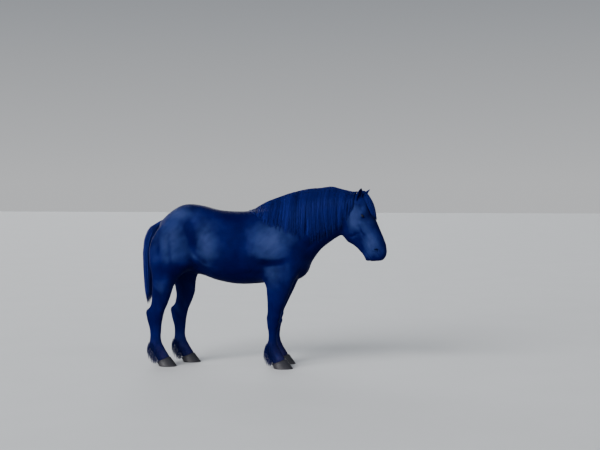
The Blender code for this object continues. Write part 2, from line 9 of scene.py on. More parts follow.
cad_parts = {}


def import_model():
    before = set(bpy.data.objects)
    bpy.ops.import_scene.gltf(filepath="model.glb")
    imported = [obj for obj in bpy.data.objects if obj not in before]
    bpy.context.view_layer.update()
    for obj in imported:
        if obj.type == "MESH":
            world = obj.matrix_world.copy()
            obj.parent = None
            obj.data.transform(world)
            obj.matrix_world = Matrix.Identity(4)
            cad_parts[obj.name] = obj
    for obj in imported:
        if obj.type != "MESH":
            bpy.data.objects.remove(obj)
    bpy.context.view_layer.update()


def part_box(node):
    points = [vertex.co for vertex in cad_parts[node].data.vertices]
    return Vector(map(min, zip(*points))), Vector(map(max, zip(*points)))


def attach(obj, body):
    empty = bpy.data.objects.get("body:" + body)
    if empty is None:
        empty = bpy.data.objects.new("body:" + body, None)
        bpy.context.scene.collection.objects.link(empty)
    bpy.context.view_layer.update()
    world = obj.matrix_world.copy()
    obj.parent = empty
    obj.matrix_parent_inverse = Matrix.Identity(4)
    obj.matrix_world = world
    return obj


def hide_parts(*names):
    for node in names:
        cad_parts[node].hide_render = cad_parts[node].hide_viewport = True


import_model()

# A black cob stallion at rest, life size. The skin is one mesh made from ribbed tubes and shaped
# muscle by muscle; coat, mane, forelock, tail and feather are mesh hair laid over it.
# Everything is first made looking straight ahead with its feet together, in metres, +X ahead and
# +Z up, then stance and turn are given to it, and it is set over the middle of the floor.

pose = {  # metres and degrees
    "poll": (0.985, 1.664),  # between the ears, in the side view
    "faceSlope": 22.0,  # of the face line from the vertical
    "neckTurn": -10.0,  # towards the horse's right
    "headTurn": -8.0,
    "neckPivot": (0.34, 0.0),
    "neckFoot": (0.34, 1.25), "neckWay": (0.85, 0.50),  # where the way up the neck starts and goes
    "neckRange": (-0.02, 0.50),  # the distance up the neck over which it turns
    "headPivot": (0.852, -0.090),
    "headRange": (0.79, 0.93),  # ahead, over which the head turns
    "foreTrack": 0.165, "hindTrack": 0.155,  # of the feet, off the middle
    "foreStep": -0.022, "hindStep": 0.166,  # of the left feet, forward
    "foreSwing": (0.92, 0.46), "hindSwing": (1.16, 0.66),  # heights where a step starts, is whole
}

skinGrain = {
    "voxel": 0.0128, "ribStep": 0.02,  # metres between points and between ribs
    "rounds": 37, "fineRounds": 12, "lipRounds": 3, "earRounds": 16,  # of smoothing
    "finer": ((0.046, 0.048, 0.018), (0.034, 0.036, 0.012)),  # round eyes, nostrils and mouth
    "coatDepth": 0.004,
}

eyes = {
    "radius": 0.0215,
    "along": 0.200, "out": -0.056, "side": 0.0885,  # from the poll, the face line, the middle
    "gaze": (0.02, 0.26, 0.96),  # along, out, side
    "tilt": 16.0,  # the inner corner sits nearer the face line
    "halfLength": 0.0205, "upper": 0.0135, "lower": 0.0092,  # of the opening
    "lid": 0.0028, "over": 0.0024,  # of the lower lid, and more of the upper
    "socket": 0.0022, "fold": 0.0026, "sunk": 0.0045,  # rise round it, crease over it, skin behind
    "around": 0.055, "blend": 0.012, "crisp": 0.0009,  # skin that is shaped, its join, the lids' edge
    "gap": 0.0006,  # between the ball and its socket
}


def unit(vectors):
    # each vector over its own length
    return vectors / np.maximum(np.linalg.norm(vectors, axis=-1), 1e-9)[..., None]


def rib(near, far, half, crown=1.0, keel=1.0, waist=0.5, left=0.0):
    # two ends in the side view, half width, pinch over and under, where it is widest, shift
    return (*near, *far, half, crown, keel, waist, left)


trunkRibs = (
    rib((-1.050, 1.385), (-1.045, 1.200), 0.055),
    rib((-1.005, 1.425), (-1.030, 1.070), 0.150),
    rib((-0.915, 1.504), (-0.935, 0.955), 0.222, 0.95),
    rib((-0.780, 1.572), (-0.790, 0.890), 0.264, 0.88, 1.0, 0.54),  # croup
    rib((-0.620, 1.559), (-0.620, 0.874), 0.278, 0.84, 1.0, 0.54),  # hips
    rib((-0.460, 1.518), (-0.460, 0.823), 0.287, 0.86, 0.9, 0.50),  # loin
    rib((-0.280, 1.498), (-0.270, 0.790), 0.304, 0.92, 0.9, 0.45),  # barrel
    rib((-0.110, 1.509), (-0.090, 0.793), 0.300, 1.02, 0.9, 0.43),
    rib((0.030, 1.540), (0.055, 0.808), 0.278, 1.25, 1.0, 0.43),  # withers and girth
    rib((0.140, 1.545), (0.175, 0.818), 0.258, 1.30, 1.0, 0.45),
    rib((0.240, 1.490), (0.280, 0.830), 0.242, 1.10, 1.0, 0.46),
    rib((0.330, 1.370), (0.365, 0.850), 0.214),
    rib((0.402, 1.230), (0.422, 0.900), 0.180),  # breast
    rib((0.440, 1.120), (0.452, 0.985), 0.120),
)

neckRibs = (
    rib((-0.080, 1.445), (0.120, 1.000), 0.150),
    rib((0.060, 1.550), (0.362, 0.915), 0.208, 1.35, 0.95, 0.42),
    rib((0.200, 1.612), (0.470, 1.012), 0.182, 1.35, 0.90, 0.42),
    rib((0.345, 1.662), (0.538, 1.104), 0.152, 1.30, 0.90, 0.42),
    rib((0.490, 1.690), (0.616, 1.174), 0.130, 1.25, 0.90, 0.44),  # crest
    rib((0.640, 1.702), (0.688, 1.226), 0.115, 1.20, 0.95, 0.46),
    rib((0.790, 1.682), (0.758, 1.270), 0.106, 1.10, 1.00, 0.50),  # throat
    rib((0.905, 1.654), (0.845, 1.330), 0.090, 1.00, 1.00, 0.50),
)

headRibs = (  # ends given along the head from the poll and out from the face line
    rib((-0.030, -0.045), (-0.030, -0.120), 0.045),
    rib((0.000, -0.012), (0.000, -0.175), 0.068, 0.90, 1.00, 0.55),  # poll
    rib((0.055, 0.006), (0.060, -0.260), 0.089, 0.80, 1.10, 0.64),
    rib((0.120, 0.010), (0.130, -0.318), 0.104, 0.72, 1.15, 0.70),  # forehead
    rib((0.185, 0.010), (0.205, -0.348), 0.113, 0.70, 1.20, 0.73),  # eyes and jowl
    rib((0.250, 0.016), (0.280, -0.356), 0.106, 0.72, 1.15, 0.70),
    rib((0.320, 0.023), (0.350, -0.338), 0.091, 0.78, 1.05, 0.66),  # end of the cheek
    rib((0.390, 0.029), (0.412, -0.300), 0.078, 0.82, 1.00, 0.60),
    rib((0.455, 0.033), (0.466, -0.261), 0.070, 0.82, 0.95, 0.56),
    rib((0.524, 0.031), (0.514, -0.233), 0.071, 0.80, 0.85, 0.53),  # nostrils
    rib((0.582, 0.014), (0.556, -0.221), 0.073, 0.80, 0.80, 0.50),  # lips
    rib((0.630, -0.016), (0.592, -0.209), 0.067, 0.84, 0.84, 0.50),
    rib((0.655, -0.060), (0.612, -0.184), 0.046, 1.00, 0.90, 0.50),
)

foreRibs = (
    rib((0.130, 1.430), (-0.020, 1.370), 0.050, left=0.050),
    rib((0.245, 1.340), (-0.030, 1.220), 0.080, left=0.012),  # shoulder blade
    rib((0.365, 1.180), (-0.005, 1.070), 0.096, 1.1, 1.1),
    rib((0.402, 1.030), (-0.030, 0.965), 0.096, 1.1, 1.1, left=-0.004),  # point of the shoulder
    rib((0.356, 0.900), (-0.014, 0.880), 0.092, 0.95, 0.95, left=-0.004),  # elbow
    rib((0.296, 0.795), (0.033, 0.785), 0.084, 0.9, 0.9),
    rib((0.258, 0.700), (0.043, 0.695), 0.072, 0.9, 0.9),  # forearm
    rib((0.219, 0.600), (0.049, 0.600), 0.059, 0.9, 0.9),
    rib((0.188, 0.525), (0.049, 0.525), 0.052, 0.85, 0.9),
    rib((0.176, 0.470), (0.050, 0.470), 0.056, 0.72, 0.85),  # knee
    rib((0.170, 0.420), (0.044, 0.428), 0.056, 0.72, 0.85),
    rib((0.158, 0.370), (0.052, 0.372), 0.048, 0.85, 1.0),
    rib((0.151, 0.318), (0.058, 0.318), 0.041),  # cannon
    rib((0.149, 0.268), (0.053, 0.264), 0.042),
    rib((0.156, 0.234), (0.038, 0.218), 0.049),  # fetlock
    rib((0.167, 0.206), (0.033, 0.180), 0.051),
    rib((0.182, 0.175), (0.048, 0.141), 0.048),  # pastern
    rib((0.200, 0.146), (0.068, 0.105), 0.048),
    rib((0.216, 0.118), (0.086, 0.072), 0.054),
    rib((0.228, 0.096), (0.098, 0.050), 0.060),  # top of the hoof
    rib((0.234, 0.078), (0.104, 0.032), 0.061),
)

hindRibs = (
    rib((-0.660, 1.420), (-0.930, 1.430), 0.070, left=0.030),
    rib((-0.570, 1.270), (-1.050, 1.295), 0.116, 1.2, 1.0, 0.45),  # hip
    rib((-0.560, 1.120), (-1.106, 1.165), 0.130, 1.3, 1.0, 0.42, -0.006),
    rib((-0.618, 1.000), (-1.112, 1.045), 0.131, 1.2, 1.0, 0.45, -0.006),  # stifle
    rib((-0.716, 0.925), (-1.100, 0.950), 0.118, 1.0, 1.0, 0.50, -0.004),
    rib((-0.806, 0.855), (-1.086, 0.870), 0.103),
    rib((-0.860, 0.770), (-1.080, 0.792), 0.088),  # gaskin
    rib((-0.884, 0.697), (-1.084, 0.712), 0.075),
    rib((-0.909, 0.627), (-1.086, 0.644), 0.063, 0.9, 1.05),
    rib((-0.938, 0.555), (-1.099, 0.580), 0.057, 0.8, 1.1),
    rib((-0.963, 0.484), (-1.139, 0.522), 0.057, 0.8, 1.0),  # point of the hock
    rib((-0.976, 0.414), (-1.132, 0.446), 0.052, 0.9, 1.0),
    rib((-0.982, 0.352), (-1.110, 0.366), 0.046),  # cannon
    rib((-0.986, 0.302), (-1.102, 0.300), 0.044),
    rib((-0.985, 0.256), (-1.107, 0.246), 0.047),
    rib((-0.976, 0.224), (-1.112, 0.206), 0.050),  # fetlock
    rib((-0.961, 0.195), (-1.104, 0.170), 0.050),
    rib((-0.944, 0.165), (-1.080, 0.133), 0.047),  # pastern
    rib((-0.927, 0.138), (-1.056, 0.100), 0.047),
    rib((-0.913, 0.114), (-1.038, 0.070), 0.052),
    rib((-0.903, 0.096), (-1.026, 0.050), 0.057),  # top of the hoof
    rib((-0.897, 0.078), (-1.020, 0.032), 0.058),
)

tailRibs = (
    rib((-0.985, 1.428), (-1.020, 1.360), 0.024),
    rib((-1.050, 1.402), (-1.050, 1.310), 0.038),
    rib((-1.132, 1.352), (-1.058, 1.262), 0.052),
    rib((-1.184, 1.264), (-1.072, 1.200), 0.066),
    rib((-1.202, 1.142), (-1.084, 1.115), 0.080),
    rib((-1.202, 1.000), (-1.090, 0.990), 0.087),
    rib((-1.198, 0.850), (-1.094, 0.850), 0.086),
    rib((-1.190, 0.720), (-1.098, 0.725), 0.076),
    rib((-1.178, 0.620), (-1.108, 0.628), 0.058),
    rib((-1.168, 0.570), (-1.122, 0.575), 0.036),
)

forelockRibs = (  # given on the head, as its ribs
    rib((-0.052, -0.010), (-0.040, -0.060), 0.020),
    rib((-0.020, 0.020), (-0.020, -0.040), 0.024),
    rib((0.040, 0.042), (0.040, -0.030), 0.031),
    rib((0.110, 0.052), (0.110, -0.020), 0.050),
    rib((0.180, 0.048), (0.180, -0.016), 0.049),
    rib((0.240, 0.038), (0.240, -0.010), 0.034),
    rib((0.292, 0.030), (0.292, -0.002), 0.014),
)


def ease(value, start, end):
    # 0 before the start, 1 past the end, 3t^2 - 2t^3 between
    t = np.clip((value - start) / (end - start), 0, 1)
    return t * t * (3 - 2 * t)


def spreadRibs(ribs, step):
    # more ribs between the named ones, each number on a cubic through its neighbours
    rows = np.array(ribs, float)
    before = np.vstack([2 * rows[0] - rows[1], rows[:-1]])
    after = np.vstack([rows[1:], 2 * rows[-1] - rows[-2]])
    slope = (after - before) / 2
    made = []
    for i in range(len(rows) - 1):
        travel = np.abs(rows[i + 1, :4] - rows[i, :4]).reshape(2, 2)
        count = max(1, math.ceil(np.hypot(*travel.T).max() / step))
        t = np.arange(count)[:, None] / count
        made.append(
            (2 * t**3 - 3 * t**2 + 1) * rows[i]
            + (t**3 - 2 * t**2 + t) * slope[i]
            + (3 * t**2 - 2 * t**3) * rows[i + 1]
            + (t**3 - t**2) * slope[i + 1]
        )
    return np.vstack([*made, rows[-1:]])


def ribPoint(rows, theta, rho=1.0):
    # along the rib by the sine of theta, across it by the cosine to the pinch, drawn in by rho
    nearX, nearZ, farX, farZ, half, crown, keel, waist, left = np.moveaxis(rows, -1, 0)
    rise, side = np.sin(theta), np.cos(theta)
    midX, midZ = farX + waist * (nearX - farX), farZ + waist * (nearZ - farZ)
    over = rise > 0
    towardX = np.where(over, nearX - midX, midX - farX)
    towardZ = np.where(over, nearZ - midZ, midZ - farZ)
    wide = np.sign(side) * np.abs(side) ** np.where(over, crown, keel)
    return np.stack(
        [midX + rho * towardX * rise, left + rho * half * wide, midZ + rho * towardZ * rise], -1
    )


def rowsAt(rows, share):
    # the rib at a share of the way along, straight between its neighbours
    place = np.linspace(0, 1, len(rows))
    return np.stack([np.interp(share, place, column) for column in rows.T], -1)


# directions on the head, in the side view
slope = math.radians(pose["faceSlope"])
alongHead = np.array([math.sin(slope), 0.0, -math.cos(slope)])
outHead = np.array([math.cos(slope), 0.0, math.sin(slope)])
pollPoint = np.array([pose["poll"][0], 0.0, pose["poll"][1]])


def onHead(along, out, side=0.0):
    # poll + along the head + out from the face line + to the left
    return pollPoint + along * alongHead + out * outHead + np.array([0.0, side, 0.0])


def headPlace(points):
    # the same turned round: how far along the head and out from the face line
    fromPoll = points - pollPoint
    return fromPoll @ alongHead, fromPoll @ outHead


def headRibsPlaced(ribs):
    # ribs given along and out on the head, put into the side view
    made = []
    for row in ribs:
        near, far = onHead(row[0], row[1]), onHead(row[2], row[3])
        made.append((near[0], near[2], far[0], far[2], *row[4:]))
    return made


def stepAt(height, kind):
    # how far a left leg has stepped forward at a height
    start, whole = pose[kind + "Swing"]
    return pose[kind + "Step"] * ease(-height, -start, -whole)


def stance(points, kind, side):
    # a right leg drawn on the middle line, moved out to its side and by its step, less higher up
    made = points.copy()
    made[..., 1] = side * (pose[kind + "Track"] - points[..., 1])
    if side > 0:
        made[..., 0] += stepAt(points[..., 2], kind)
    return made


def planTurn(points, pivot, degrees, share):
    # turned about an upright line by a share of the angle
    angle = math.radians(degrees) * share
    dx, dy = points[..., 0] - pivot[0], points[..., 1] - pivot[1]
    made = points.copy()
    made[..., 0] = pivot[0] + dx * np.cos(angle) - dy * np.sin(angle)
    made[..., 1] = pivot[1] + dx * np.sin(angle) + dy * np.cos(angle)
    return made


def turned(points):
    # neck and head to the right: gently along the neck, then at the poll
    upNeck = (points[..., [0, 2]] - pose["neckFoot"]) @ np.array(pose["neckWay"])
    neck, head = ease(upNeck, *pose["neckRange"]), ease(points[..., 0], *pose["headRange"])
    made = planTurn(points, pose["neckPivot"], pose["neckTurn"], neck)
    return planTurn(made, pose["headPivot"], pose["headTurn"], head)


def placed(points):
    # the turn, then the shift that sets the horse over the middle of the floor
    return turned(points) + floorShift


def turnedWays(points, ways):
    # directions carried through the turn with the points they belong to
    step = 0.001
    return unit(turned(points + step * ways) - turned(points))


# the right eye's solid shows where the middle of the floor is
low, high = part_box("eye_right")
rightEye = onHead(eyes["along"], eyes["out"], -eyes["side"])
floorShift = np.array((low + high) / 2) - turned(rightEye)


def gridFaces(rings, around, first=0, closed=True):
    # four corners from each ring to the next, the rings closed on themselves or not
    ring = np.arange(around if closed else around - 1)
    base = first + np.arange(rings - 1)[:, None] * around
    one, two = base + ring, base + (ring + 1) % around
    return np.stack([one, two, two + around, one + around], -1).reshape(-1, 4)


def outward(points, faces):
    # the faces, turned over if the volume they enclose comes out below nought
    total = 0.0
    for block in faces:
        for i in range(1, block.shape[1] - 1):
            a, b, c = points[block[:, 0]], points[block[:, i]], points[block[:, i + 1]]
            total += np.einsum("ij,ij->", a, np.cross(b, c))
    return faces if total > 0 else [block[:, ::-1] for block in faces]


def meshObject(name, points, faces):
    # a mesh from an array of points and arrays of faces, each array with its own corner count
    data = bpy.data.meshes.new(name)
    loops = np.concatenate([block.ravel() for block in faces])
    sizes = np.concatenate([np.full(len(block), block.shape[1]) for block in faces])
    data.vertices.add(len(points))
    data.vertices.foreach_set("co", np.asarray(points, np.float32).ravel())
    data.loops.add(len(loops))
    data.loops.foreach_set("vertex_index", loops.astype(np.int32))
    data.polygons.add(len(sizes))
    data.polygons.foreach_set("loop_start", (np.cumsum(sizes) - sizes).astype(np.int32))
    data.update(calc_edges=True)
    data.shade_smooth()
    made = bpy.data.objects.new(name, data)
    bpy.context.collection.objects.link(made)
    return made


def closedTube(name, rings):
    # a skin over rings of points (ring, around, 3), each end drawn to a point in its middle
    count, around = rings.shape[:2]
    points = np.vstack([rings.reshape(-1, 3), rings[0].mean(0), rings[-1].mean(0)])
    ring = np.arange(around)
    after = (ring + 1) % around
    last = (count - 1) * around
    start = np.stack([np.full(around, count * around), after, ring], -1)
    end = np.stack([np.full(around, count * around + 1), last + ring, last + after], -1)
    faces = outward(points, [gridFaces(count, around), start, end])
    return meshObject(name, points, faces)


def ribTube(name, ribs, around):
    # the surface through a table of ribs, with so many points round each
    rows = spreadRibs(ribs, skinGrain["ribStep"])
    theta = np.linspace(0, 2 * math.pi, around, endpoint=False)
    return closedTube(name, ribPoint(rows[:, None, :], theta[None, :]))


def coordinates(obj):
    # the mesh's points as rows of x, y, z
    points = np.empty(len(obj.data.vertices) * 3)
    obj.data.vertices.foreach_get("co", points)
    return points.reshape(-1, 3)


def normalsOf(obj):
    # the way out of the mesh at each point
    ways = np.empty(len(obj.data.vertices) * 3)
    obj.data.vertex_normals.foreach_get("vector", ways)
    return ways.reshape(-1, 3)


def setPoints(obj, points):
    # the mesh's points moved to those rows
    obj.data.vertices.foreach_set("co", np.asarray(points, np.float32).ravel())
    obj.data.update()
    return obj


def edgesOf(obj):
    # the first and the second end of every edge
    edges = np.empty(len(obj.data.edges) * 2, dtype=np.int64)
    obj.data.edges.foreach_get("vertices", edges)
    return edges.reshape(-1, 2).T


def relaxed(obj, rounds, weight):
    # each point moved by its weight towards the mean of its neighbours, again and again
    one, other = edgesOf(obj)
    points = coordinates(obj)
    count = len(points)
    meeting = np.bincount(np.concatenate([one, other]), minlength=count)[:, None]
    share = weight(points)[:, None]
    for _ in range(rounds):
        total = np.stack([
            np.bincount(one, points[other, axis], count)
            + np.bincount(other, points[one, axis], count)
            for axis in range(3)
        ], -1)
        points = points + share * (total / meeting - points)
    return setPoints(obj, points)


def applied(obj):
    # the object's mesh with its modifiers in it
    graph = bpy.context.evaluated_depsgraph_get()
    data = bpy.data.meshes.new_from_object(obj.evaluated_get(graph))
    obj.modifiers.clear()
    obj.data = data
    return obj


def joinedTubes(name, tubes):
    # one object with all the tubes' meshes, which still run through each other
    mesh = bmesh.new()
    for obj in tubes:
        mesh.from_mesh(obj.data)
        bpy.data.objects.remove(obj)
    data = bpy.data.meshes.new(name)
    mesh.to_mesh(data)
    mesh.free()
    made = bpy.data.objects.new(name, data)
    bpy.context.collection.objects.link(made)
    return made


def refined(obj, chosen):
    # faces whose corners are all chosen, cut in four, with the faces round them fitted to that
    inside = chosen(coordinates(obj))
    mesh = bmesh.new()
    mesh.from_mesh(obj.data)
    mesh.verts.ensure_lookup_table()
    edges = [e for e in mesh.edges if inside[e.verts[0].index] and inside[e.verts[1].index]]
    bmesh.ops.subdivide_edges(mesh, edges=edges, cuts=1, use_grid_fill=True, smooth=0.0)
    many = [face for face in mesh.faces if len(face.verts) > 4]
    bmesh.ops.triangulate(mesh, faces=many)
    mesh.to_mesh(obj.data)
    mesh.free()
    obj.data.update()
    return obj


bodyForms = (  # in the side view: facing, place, sizes, tilt in degrees, rise
    # shoulder and forehand
    ("side", (0.060, 1.180), (0.180, 0.200), 0, 0.016),  # shoulder
    ("side", (0.010, 1.090), (0.120, 0.080), 12, 0.006),  # triceps
    ("side", (0.330, 1.090), (0.070, 0.070), 0, 0.003),  # point of the shoulder
    ("side", (-0.165, 1.130), (0.065, 0.180), -12, -0.015),  # behind the shoulder
    ("side", (-0.020, 0.945), (0.040, 0.030), 0, 0.007),  # elbow
    ("side", (-0.140, 0.900), (0.110, 0.030), 10, -0.006),
    # barrel and loin
    ("side", (-0.270, 1.150), (0.080, 0.200), 0, -0.005),
    ("side", (-0.490, 1.130), (0.105, 0.180), 8, 0.015),  # last ribs
    ("side", (-0.560, 1.290), (0.050, 0.075), -20, -0.014),  # hollow of the flank
    ("side", (-0.665, 1.150), (0.042, 0.140), 14, -0.020),  # before the thigh
    ("side", (-0.640, 1.010), (0.060, 0.022), -52, 0.008),  # fold of the flank
    ("side", (-0.440, 1.430), (0.150, 0.045), 2, 0.004),
    # haunch
    ("side", (-0.585, 1.410), (0.050, 0.036), 20, 0.010),  # point of the hip
    ("side", (-0.840, 1.220), (0.110, 0.180), -10, 0.010),
    ("side", (-0.760, 1.120), (0.060, 0.120), 18, 0.006),  # front of the thigh
    ("side", (-0.950, 1.130), (0.070, 0.160), 8, 0.006),
    ("side", (-0.735, 0.975), (0.050, 0.045), 0, 0.008),  # stifle
    ("side", (-0.800, 0.930), (0.030, 0.040), 30, -0.005),
    ("back", (-1.060, 1.080), (0.040, 0.110), 0, 0.006),
)

legForms = (  # the same on the legs, where out, in or both says which of their faces
    # forearm and knee
    ("out", (0.205, 0.800), (0.035, 0.090), 10, 0.006),
    ("out", (0.120, 0.770), (0.030, 0.080), 8, 0.005),
    ("front", (0.235, 0.790), (0.060, 0.090), 0, 0.005),
    ("out", (0.112, 0.620), (0.012, 0.070), 5, -0.004),
    ("front", (0.175, 0.490), (0.030, 0.018), 0, 0.004),
    ("front", (0.175, 0.448), (0.030, 0.012), 0, -0.002),
    ("front", (0.172, 0.420), (0.030, 0.016), 0, 0.003),
    ("back", (0.045, 0.482), (0.040, 0.034), 0, 0.007),
    ("out", (0.075, 0.475), (0.013, 0.030), 0, -0.004),
    ("in", (0.120, 0.515), (0.026, 0.018), 0, 0.004),
    ("both", (0.135, 0.395), (0.016, 0.016), 0, 0.003),
    ("both", (0.088, 0.315), (0.008, 0.080), 0, -0.006),  # between bone and sinews
    ("both", (0.100, 0.215), (0.022, 0.020), 0, 0.004),  # fetlock
    ("back", (0.040, 0.196), (0.030, 0.022), 0, 0.006),
    # gaskin and hock
    ("out", (-0.905, 0.790), (0.030, 0.090), 6, 0.006),
    ("out", (-1.040, 0.800), (0.028, 0.080), 4, 0.005),
    ("out", (-0.975, 0.760), (0.012, 0.090), 8, -0.004),
    ("both", (-1.030, 0.612), (0.020, 0.060), 12, -0.009),  # before the great sinew
    ("back", (-1.132, 0.535), (0.030, 0.030), 0, 0.006),
    ("out", (-0.985, 0.530), (0.024, 0.032), 10, 0.005),
    ("in", (-0.980, 0.540), (0.026, 0.034), 10, 0.006),
    ("out", (-1.066, 0.494), (0.016, 0.034), 10, -0.004),
    ("in", (-0.995, 0.450), (0.022, 0.020), 0, 0.004),
    ("front", (-0.948, 0.530), (0.030, 0.034), 0, -0.003),
    ("both", (-1.058, 0.345), (0.008, 0.060), 0, -0.005),
    ("both", (-1.045, 0.215), (0.022, 0.020), 0, 0.004),
    ("back", (-1.105, 0.190), (0.030, 0.022), 0, 0.006),
)

bodyCreases = (  # facing, line in the side view, half width, rise
    ("side", ((-0.050, 1.080), (0.060, 1.060), (0.170, 1.066), (0.290, 1.100)), 0.040, 0.008),
    ("side", ((-0.030, 1.005), (0.060, 0.985), (0.160, 0.992), (0.270, 1.035)), 0.030, -0.005),
    ("side", ((0.780, 1.335), (0.640, 1.285), (0.500, 1.210), (0.385, 1.090)), 0.018, -0.006),
    ("side", ((0.760, 1.385), (0.600, 1.340), (0.440, 1.240), (0.330, 1.140)), 0.028, 0.006),
    ("side", ((0.300, 1.560), (0.230, 1.420), (0.240, 1.270)), 0.026, -0.005),
    ("side", ((-0.930, 1.430), (-0.985, 1.290), (-0.990, 1.130), (-1.000, 0.980)), 0.020, -0.005),
    ("side", ((-0.860, 1.350), (-0.870, 1.180), (-0.850, 1.000)), 0.026, -0.003),
    ("side", ((-0.700, 1.050), (-0.650, 0.985), (-0.560, 0.905)), 0.014, -0.009),
    ("side", ((-0.060, 0.960), (-0.090, 1.060), (-0.110, 1.180)), 0.016, -0.004),
    ("side", ((0.800, 1.390), (0.775, 1.340), (0.770, 1.290)), 0.007, -0.004),
    ("side", ((0.830, 1.400), (0.808, 1.350), (0.805, 1.310)), 0.007, -0.004),
)

headForms = (  # along the head and out from the face line
    ("side", (0.205, -0.225), (0.082, 0.078), 0, 0.010),  # cheek
    ("side", (0.196, -0.054), (0.048, 0.040), 0, 0.0060),  # round the eye
    ("side", (0.176, -0.024), (0.040, 0.016), -10, 0.0055),  # brow
    ("side", (0.130, -0.042), (0.026, 0.020), -20, -0.0085),  # hollow over the eye
    ("side", (0.085, -0.060), (0.030, 0.020), 0, 0.005),
    ("side", (0.250, -0.078), (0.022, 0.012), 10, -0.0035),  # under the eye
    ("side", (0.340, -0.052), (0.100, 0.018), 0, -0.0085),  # between nose and cheek bone
    ("side", (0.430, -0.125), (0.070, 0.038), 0, -0.0080),
    ("side", (0.345, -0.190), (0.040, 0.050), 0, -0.0075),  # before the cheek
    ("side", (0.545, -0.085), (0.034, 0.024), 0, 0.0070),
    ("side", (0.575, -0.105), (0.022, 0.020), 0, 0.0030),
    ("side", (0.570, -0.180), (0.022, 0.018), 0, 0.0045),
    ("side", (0.500, -0.185), (0.030, 0.016), 0, -0.0035),
    ("side", (0.060, -0.150), (0.024, 0.075), -10, -0.0090),  # behind the cheek
    ("top", (0.120, 0.010), (0.050, 0.034), 0, 0.003),
    ("top", (0.300, 0.000), (0.060, 0.030), 0, -0.003),
    ("front", (0.585, 0.000), (0.030, 0.030), 0, 0.003),
    ("under", (0.590, -0.205), (0.022, 0.016), 0, 0.008),  # chin
    ("under", (0.530, -0.240), (0.020, 0.020), 0, -0.006),
)

headCreases = (  # facing, line on the head, half width, rise
    ("side", ((0.225, -0.092), (0.270, -0.100), (0.330, -0.107), (0.385, -0.108)), 0.0110, 0.0085),
    ("side", ((0.250, -0.126), (0.310, -0.134), (0.370, -0.132)), 0.0140, -0.0040),
    ("side", ((0.235, -0.092), (0.170, -0.106), (0.090, -0.110)), 0.0150, 0.0026),  # to the ear
    ("side", ((0.225, -0.130), (0.160, -0.136), (0.090, -0.150)), 0.0180, -0.0016),
    ("side", ((0.240, -0.016), (0.340, -0.020), (0.440, -0.022), (0.510, -0.030)), 0.0090, 0.0030),
    ("side", ((0.090, -0.180), (0.110, -0.275), (0.190, -0.340), (0.285, -0.325), (0.340, -0.250)),
     0.014, -0.0034),
    ("side", ((0.318, -0.300), (0.340, -0.240), (0.336, -0.165)), 0.014, -0.0050),
    ("side", ((0.395, -0.074), (0.455, -0.080), (0.515, -0.104)), 0.0070, 0.0040),
    ("side", ((0.340, -0.160), (0.420, -0.144), (0.490, -0.125)), 0.0045, 0.0024),  # vein
    ("side", ((0.280, -0.250), (0.340, -0.200), (0.360, -0.150)), 0.0040, 0.0018),
    ("side", ((0.500, -0.145), (0.520, -0.162), (0.528, -0.190)), 0.0060, -0.0024),
)

paintedLightForms = (  # painted light on the coat, painted highlights where it is paler and painted shade where it is darker: facing, place, sizes, tilt, amount
    ("side", (0.090, 1.210), (0.190, 0.170), 0, 1.0),  # shoulder
    ("side", (0.115, 0.900), (0.085, 0.120), 0, 0.5),  # forearm
    ("side", (-0.510, 1.160), (0.100, 0.230), 4, 0.85),  # last ribs
    ("side", (-0.625, 1.110), (0.050, 0.050), 0, 0.35),  # fold of the flank
    ("side", (-0.665, 1.240), (0.045, 0.170), 10, -0.50),
    ("side", (-0.215, 1.100), (0.090, 0.260), 0, -0.45),
    ("side", (-0.860, 1.180), (0.140, 0.240), 4, 0.75),  # haunch
    ("side", (-0.870, 1.130), (0.018, 0.170), 4, -0.35),
    ("side", (-0.975, 1.120), (0.030, 0.180), 4, -0.25),
    ("side", (-0.800, 0.930), (0.220, 0.075), 0, -0.65),  # painted shade under the haunch
    ("out", (-0.970, 0.750), (0.055, 0.090), 6, 0.45),  # gaskin
    ("side", (0.420, 1.130), (0.130, 0.120), 40, -0.45),
    ("top", (-0.850, 1.500), (0.150, 0.120), 0, 0.55),
    ("side", (-0.740, 1.460), (0.130, 0.050), 0, 0.45),  # croup
    ("top", (-0.250, 1.500), (0.300, 0.100), 0, -0.70),
    ("out", (0.130, 0.560), (0.080, 0.220), 0, -0.30),  # the lower legs
    ("out", (-1.040, 0.500), (0.100, 0.200), 0, -0.30),
)

paintedLightLines = (  # painted shade under the shoulder and a painted highlight along the fold of the flank: facing, line, half width, amount
    ("side", ((-0.020, 1.030), (0.080, 1.008), (0.180, 1.018), (0.300, 1.060)), 0.026, -0.75),
    ("side", ((-0.700, 1.130), (-0.640, 1.060), (-0.540, 0.990), (-0.420, 0.950)), 0.018, 0.45),
)

paintedLightFace = (  # painted highlights on the head
    ("side", (0.220, -0.170), (0.110, 0.090), 0, 0.85),
    ("side", (0.480, -0.090), (0.095, 0.070), 0, 0.80),
    ("side", (0.120, -0.110), (0.090, 0.070), 0, 0.45),
    ("side", (0.340, -0.060), (0.120, 0.050), 0, 0.30),
)

relief = {
    "legs": 1.3,  # the forms on the legs are made this much stronger
    "spine": (0.040, 0.007), "breast": (0.030, 0.009), "jaw": (0.024, 0.024),  # half width, depth
}


def bumpRise(u, v, place, sizes, tilt, rise):
    # rise * exp(-(a^2 + b^2)), a and b the distances along two tilted axes over their sizes
    angle = math.radians(tilt)
    du, dv = u - place[0], v - place[1]
    a = (du * math.cos(angle) + dv * math.sin(angle)) / sizes[0]
    b = (dv * math.cos(angle) - du * math.sin(angle)) / sizes[1]
    return rise * np.exp(-(a * a + b * b))


